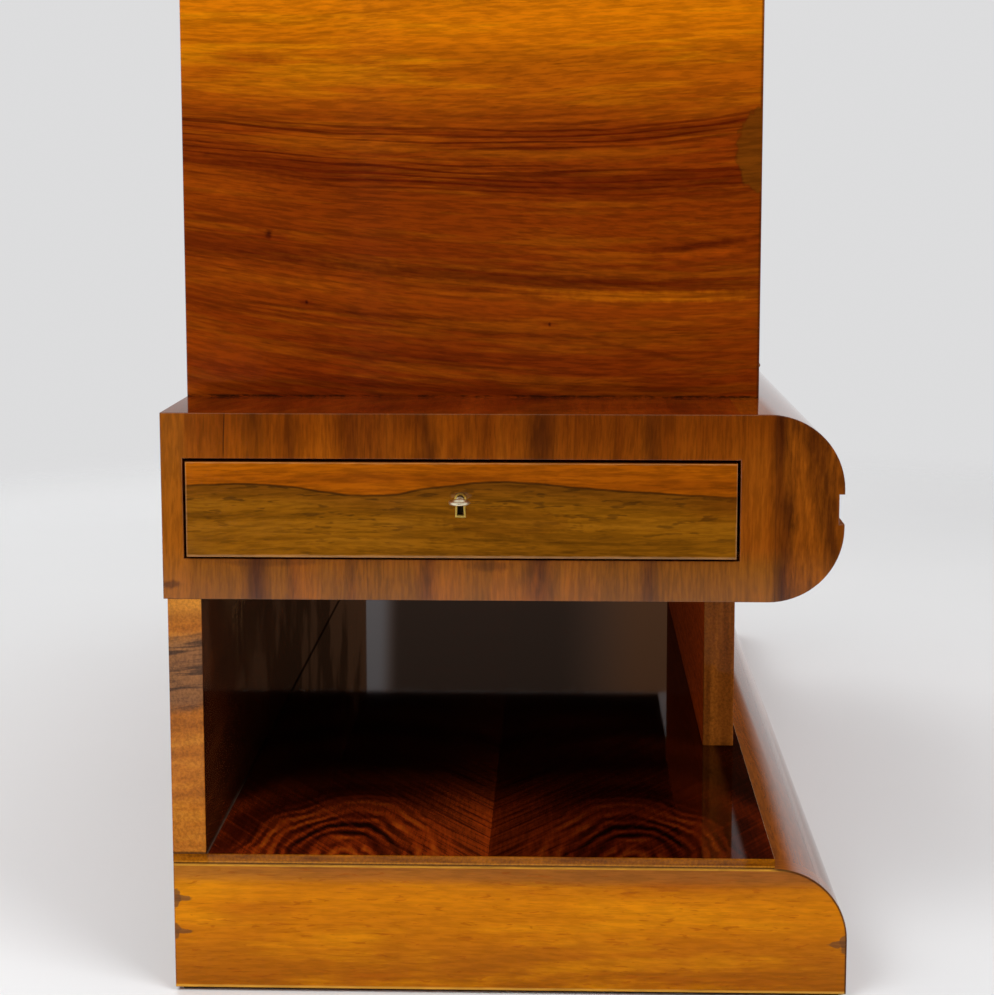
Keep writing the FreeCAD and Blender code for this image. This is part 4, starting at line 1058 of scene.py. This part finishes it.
def flap_colour(tree, place, lines):
    """Arched figure mirrored about the middle seam outside, pale walnut inside."""
    across = sums(tree, "ABSOLUTE", along(tree, place, 0))
    z = along(tree, place, 2)
    sway = swung(tree, cloud(tree, point(tree, across, z, 0.0), (7.0, 3.0, 1.0), 3.0), 0.05)
    arch = length(tree, point(tree, sums(tree, "SUBTRACT", across, ARCH_AT), 0.035, 0.0))
    arch = sums(tree, "ADD", scaled(tree, z, 0.22, arch), sway)
    rings = point(tree, arch, 0.0, times(tree, z, 0.004))
    broad = sums(tree, "SUBTRACT", cloud(tree, rings, (24.0, 1.0, 24.0)), 0.5)
    figure = scaled(tree, broad, 0.7, cloud(tree, rings, (165.0, 1.0, 165.0), 5.0, 0.6))
    outside = shaded(
        tree, figure,
        (0.26, (74, 25, 3)), (0.42, (120, 50, 4)), (0.56, (160, 80, 6)), (0.74, (192, 108, 12)),
    )
    outside = laid(tree, outside, (60, 24, 8), between(tree, across, 0.0006, 0.0002, 0.0, 0.6))
    front = between(tree, along(tree, place, 1), flap_high.y - 0.002, flap_low.y + 0.004)
    base = mixed(tree, front, pale_walnut(tree, lines), outside)
    return laid(tree, base, (150, 96, 44), edge_wear(tree, place, (flap_low, flap_high), 0.002), 0.4)


polished("flap_panel", "flap", lacquered("flap_veneer", flap_colour, "z", 18.5, 40.0, 0.14))
dress(brass, "hinge_leaf_case", "hinge_leaf_flap", "stay_bar_left", "stay_bar_right", "stay_studs",
      "stay_brackets")
dress(lock_steel, "hinge_pin")

# Screws: slotted, countersunk, driven flush by hand so that their slots stand at any angle.
# Steel ones hold the back panel and the locks, brass ones the hinge leaves and the stay brackets.
HEAD = 0.0029
PROUD = 0.0002
TURN = math.radians(137.5)
BACK_X, BACK_RISE = 0.433, (0.462, 0.562, 0.662, 0.762, 0.872)
BACK_ALONG, BACK_Z = (-0.32, -0.16, 0.0, 0.16, 0.32), (0.451, 0.885)
LEAF_X = [0.05 + 0.0945 * i - 0.428 for i in range(9)]
LEAF_SHIFT = 0.022
CASE_LEAF_Z, FLAP_LEAF_Z = 0.463, 0.4655
BRACKET_X, BRACKET_Z = 0.4157, (0.6345, 0.6585)
FLAP_LOCK_X, FLAP_LOCK_Z = 0.0165, (0.8435, 0.875)
LOCK_IN_Y, LOCK_IN_Z = 0.0045, 0.005


def one_screw():
    """A countersunk head on a short shank, its flat top at the origin, with a sawn slot."""
    head = lathe(20, [(-0.004, 0.0012), (-0.0018, 0.0014), (-0.0003, HEAD), (0.0, HEAD * 0.94)])
    saw = by_hand("primitive_cube_add", size=1.0, location=(0.0, 0.0, 0.0))
    bpy.ops.transform.resize(value=(0.0007, 3 * HEAD, 0.0012))
    bpy.ops.object.transform_apply(location=True, scale=True)
    pick(head)
    bpy.ops.object.modifier_add(type="BOOLEAN")
    head.modifiers[-1].object = saw
    head.modifiers[-1].operation = "DIFFERENCE"
    head.modifiers[-1].solver = "EXACT"
    bpy.ops.object.modifier_apply(modifier=head.modifiers[-1].name)
    bpy.data.objects.remove(saw)
    smooth(head, 40)
    return head


pattern_screw = one_screw()


def screws(name, body, material, outward, places):
    """A set of screws on one body, all facing the same way, copied from the pattern screw."""
    driven = []
    facing = Vector(outward).to_track_quat("Z", "Y").to_matrix().to_4x4()
    for count, place in enumerate(places):
        screw = copied(pattern_screw)
        seat = Matrix.Translation(Vector(place) + Vector(outward) * PROUD)
        seated(screw, seat @ facing @ Matrix.Rotation(TURN * count, 4, "Z"))
        driven.append(screw)
    made = joined(name, *driven)
    made.data.materials.append(material)
    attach(made, body)


back_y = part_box("bar_back")[1].y
rim = [(side * BACK_X, back_y, z) for side in (-1, 1) for z in BACK_RISE]
rim += [(x, back_y, z) for z in BACK_Z for x in BACK_ALONG]
screws("back_panel_screws", "case", lock_steel, (0, 1, 0), rim)
leaf_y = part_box("hinge_leaf_case")[1].y - 0.006
screws("hinge_screws_case", "case", brass, (0, 0, 1), [(x, leaf_y, CASE_LEAF_Z) for x in LEAF_X])
screws("hinge_screws_flap", "flap", brass, (0, 0, -1),
       [(x + LEAF_SHIFT, leaf_y, FLAP_LEAF_Z) for x in LEAF_X])
bracket_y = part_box("stay_brackets")[0].y + 0.002
screws("stay_bracket_screws", "flap", brass, (0, 1, 0),
       [(side * BRACKET_X, bracket_y, z) for side in (-1, 1) for z in BRACKET_Z])
lock_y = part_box("flap_lock")[1].y
screws("flap_lock_screws", "flap", lock_steel, (0, 1, 0),
       [(x, lock_y, z) for x in (-FLAP_LOCK_X, FLAP_LOCK_X) for z in FLAP_LOCK_Z])
for side, out in (("left", -1), ("right", 1)):
    low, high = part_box("drawer_lock_" + side)
    inner = high.x if out < 0 else low.x
    rows, columns = (low.z + LOCK_IN_Z, high.z - LOCK_IN_Z), (low.y + LOCK_IN_Y, high.y - LOCK_IN_Y)
    screws("drawer_lock_screws_" + side, "drawer_" + side, lock_steel, (-out, 0, 0),
           [(inner, y, z) for y in columns for z in rows])
bpy.data.objects.remove(pattern_screw)

# Studio: a plain pale floor that fades into a pale surround, and broad soft lamps.
# Lamps stand left and right of the near end, low beside it, above, and past the far end.
# The lacquer mirrors a dimmer room than the one that the camera sees.
FADE_FROM, FADE_TO = 1.5, 2.3
floor = by_hand("primitive_circle_add", vertices=96, radius=3.2, fill_type="NGON", location=(0.0, 0.0, 0.0))
floor.name = "studio_floor"
sheet, tree, shader, place = fresh_material("pale_floor")
plug(tree, shader, {
    "Base Color": mixed(tree, even_cloud(tree, place, 1.5, 4.0), tint(236, 237, 238), tint(243, 244, 245)),
    "Roughness": 0.55,
    "Specular IOR Level": 0.2,
})
clear = wire(tree, "ShaderNodeBsdfTransparent", {}).outputs[0]
veil = between(tree, length(tree, place), FADE_FROM, FADE_TO)
veil = wire(tree, "ShaderNodeMixShader", {0: veil, 1: shader.outputs[0], 2: clear}).outputs[0]
plug(tree, tree.nodes["Material Output"], {"Surface": veil})
floor.data.materials.append(sheet)

SURROUND = 0.72
ROOM = 0.2
GAP_AT = 0.1055
world = bpy.data.worlds.new("pale_surround")
bpy.context.scene.world = world
world.use_nodes = True
tree = world.node_tree
tree.nodes.clear()
rays = wire(tree, "ShaderNodeLightPath", {}).outputs
heading = wire(tree, "ShaderNodeTexCoord", {}).outputs["Generated"]
ahead, sideways, upward = (along(tree, heading, axis) for axis in range(3))
near_end = between(tree, ahead, 0.1, -0.1)
far_end = sums(tree, "SUBTRACT", 1.0, near_end)
inner = scaled(tree, near_end, 0.05, 0.2)
outer = scaled(tree, near_end, 0.05, 0.35)
aside = between(tree, sums(tree, "ABSOLUTE", sideways), inner, outer)
aloft = between(tree, upward, 0.4, 0.7)
low_far = times(tree, between(tree, upward, 0.18, 0.09), far_end)
pale = sums(tree, "MAXIMUM", sums(tree, "MAXIMUM", aside, aloft), low_far)
gap = between(tree, apart(tree, sideways, GAP_AT), 0.017, 0.006)
amber = between(tree, sideways, 0.005, -0.045)
lit = scaled(tree, gap, 0.2, scaled(tree, amber, 0.12, 0.03))
dusk = scaled(tree, far_end, lit, 0.035)
dim = scaled(tree, pale, sums(tree, "SUBTRACT", SURROUND, dusk), dusk)
seen = sums(tree, "MAXIMUM", rays["Is Camera Ray"], rays["Is Transmission Ray"])
strength = scaled(tree, rays["Is Glossy Ray"], sums(tree, "SUBTRACT", dim, ROOM), ROOM)
strength = scaled(tree, seen, sums(tree, "SUBTRACT", SURROUND, strength), strength)
warm = times(tree, rays["Is Glossy Ray"], sums(tree, "SUBTRACT", 1.0, pale))
evening = mixed(tree, amber, (1.0, 0.62, 0.45, 1.0), (1.0, 0.45, 0.22, 1.0))
evening = mixed(tree, gap, evening, (1.0, 0.9, 0.9, 1.0))
cast = mixed(tree, warm, (1.0, 1.0, 1.01, 1.0), evening)
glow = wire(tree, "ShaderNodeBackground", {"Color": cast, "Strength": strength})
wire(tree, "ShaderNodeOutputWorld", {"Surface": glow.outputs[0]})


def lamp(name, place, target, size, power):
    """A soft panel lamp turned towards a point."""
    light = bpy.data.lights.new(name, "AREA")
    light.shape = "RECTANGLE"
    light.size, light.size_y = size
    light.energy = power
    made = bpy.data.objects.new(name, light)
    bpy.context.scene.collection.objects.link(made)
    aim = Vector(target) - Vector(place)
    made.matrix_world = Matrix.Translation(place) @ aim.to_track_quat("-Z", "Y").to_matrix().to_4x4()
    made.visible_glossy = False


lamp("lamp_left", (-2.0, 1.5, 2.5), (-0.4, 0.0, 0.3), (1.4, 1.4), 35.0)
lamp("lamp_low", (-2.6, 0.9, 0.15), (0.0, -0.166, 0.22), (0.7, 0.2), 14.0)
lamp("lamp_right", (-1.9, -1.7, 2.4), (-0.4, 0.0, 0.3), (1.4, 1.4), 42.0)
lamp("lamp_above", (0.2, -0.2, 3.2), (0.0, 0.0, 0.0), (2.6, 2.6), 42.0)
lamp("lamp_back", (3.2, 1.7, 2.8), (0.2, 0.0, 0.4), (1.6, 1.6), 60.0)

# Camera: level with the bar, square to the near end, looking a little down.
# Its lens, place and shift are those that lay the cabinet's edges over the photograph's.
LENS = 66.21
STAND = (-1.8723, -0.0412, 0.6164)
YAW, PITCH = math.radians(1.477), math.radians(6.451)
camera = bpy.data.objects.new("photo_camera", bpy.data.cameras.new("photo_camera"))
bpy.context.scene.collection.objects.link(camera)
look = Vector((math.cos(PITCH) * math.cos(YAW), math.cos(PITCH) * math.sin(YAW), -math.sin(PITCH)))
right = Vector((math.sin(YAW), -math.cos(YAW), 0.0))
turned = Matrix((right, right.cross(look), -look)).transposed()
camera.matrix_world = Matrix.Translation(STAND) @ turned.to_4x4()
camera.data.sensor_width = 36.0
camera.data.lens = LENS
camera.data.shift_x = -0.02
camera.data.shift_y = -0.12
bpy.context.scene.camera = camera
bpy.context.scene.view_settings.view_transform = "Standard"
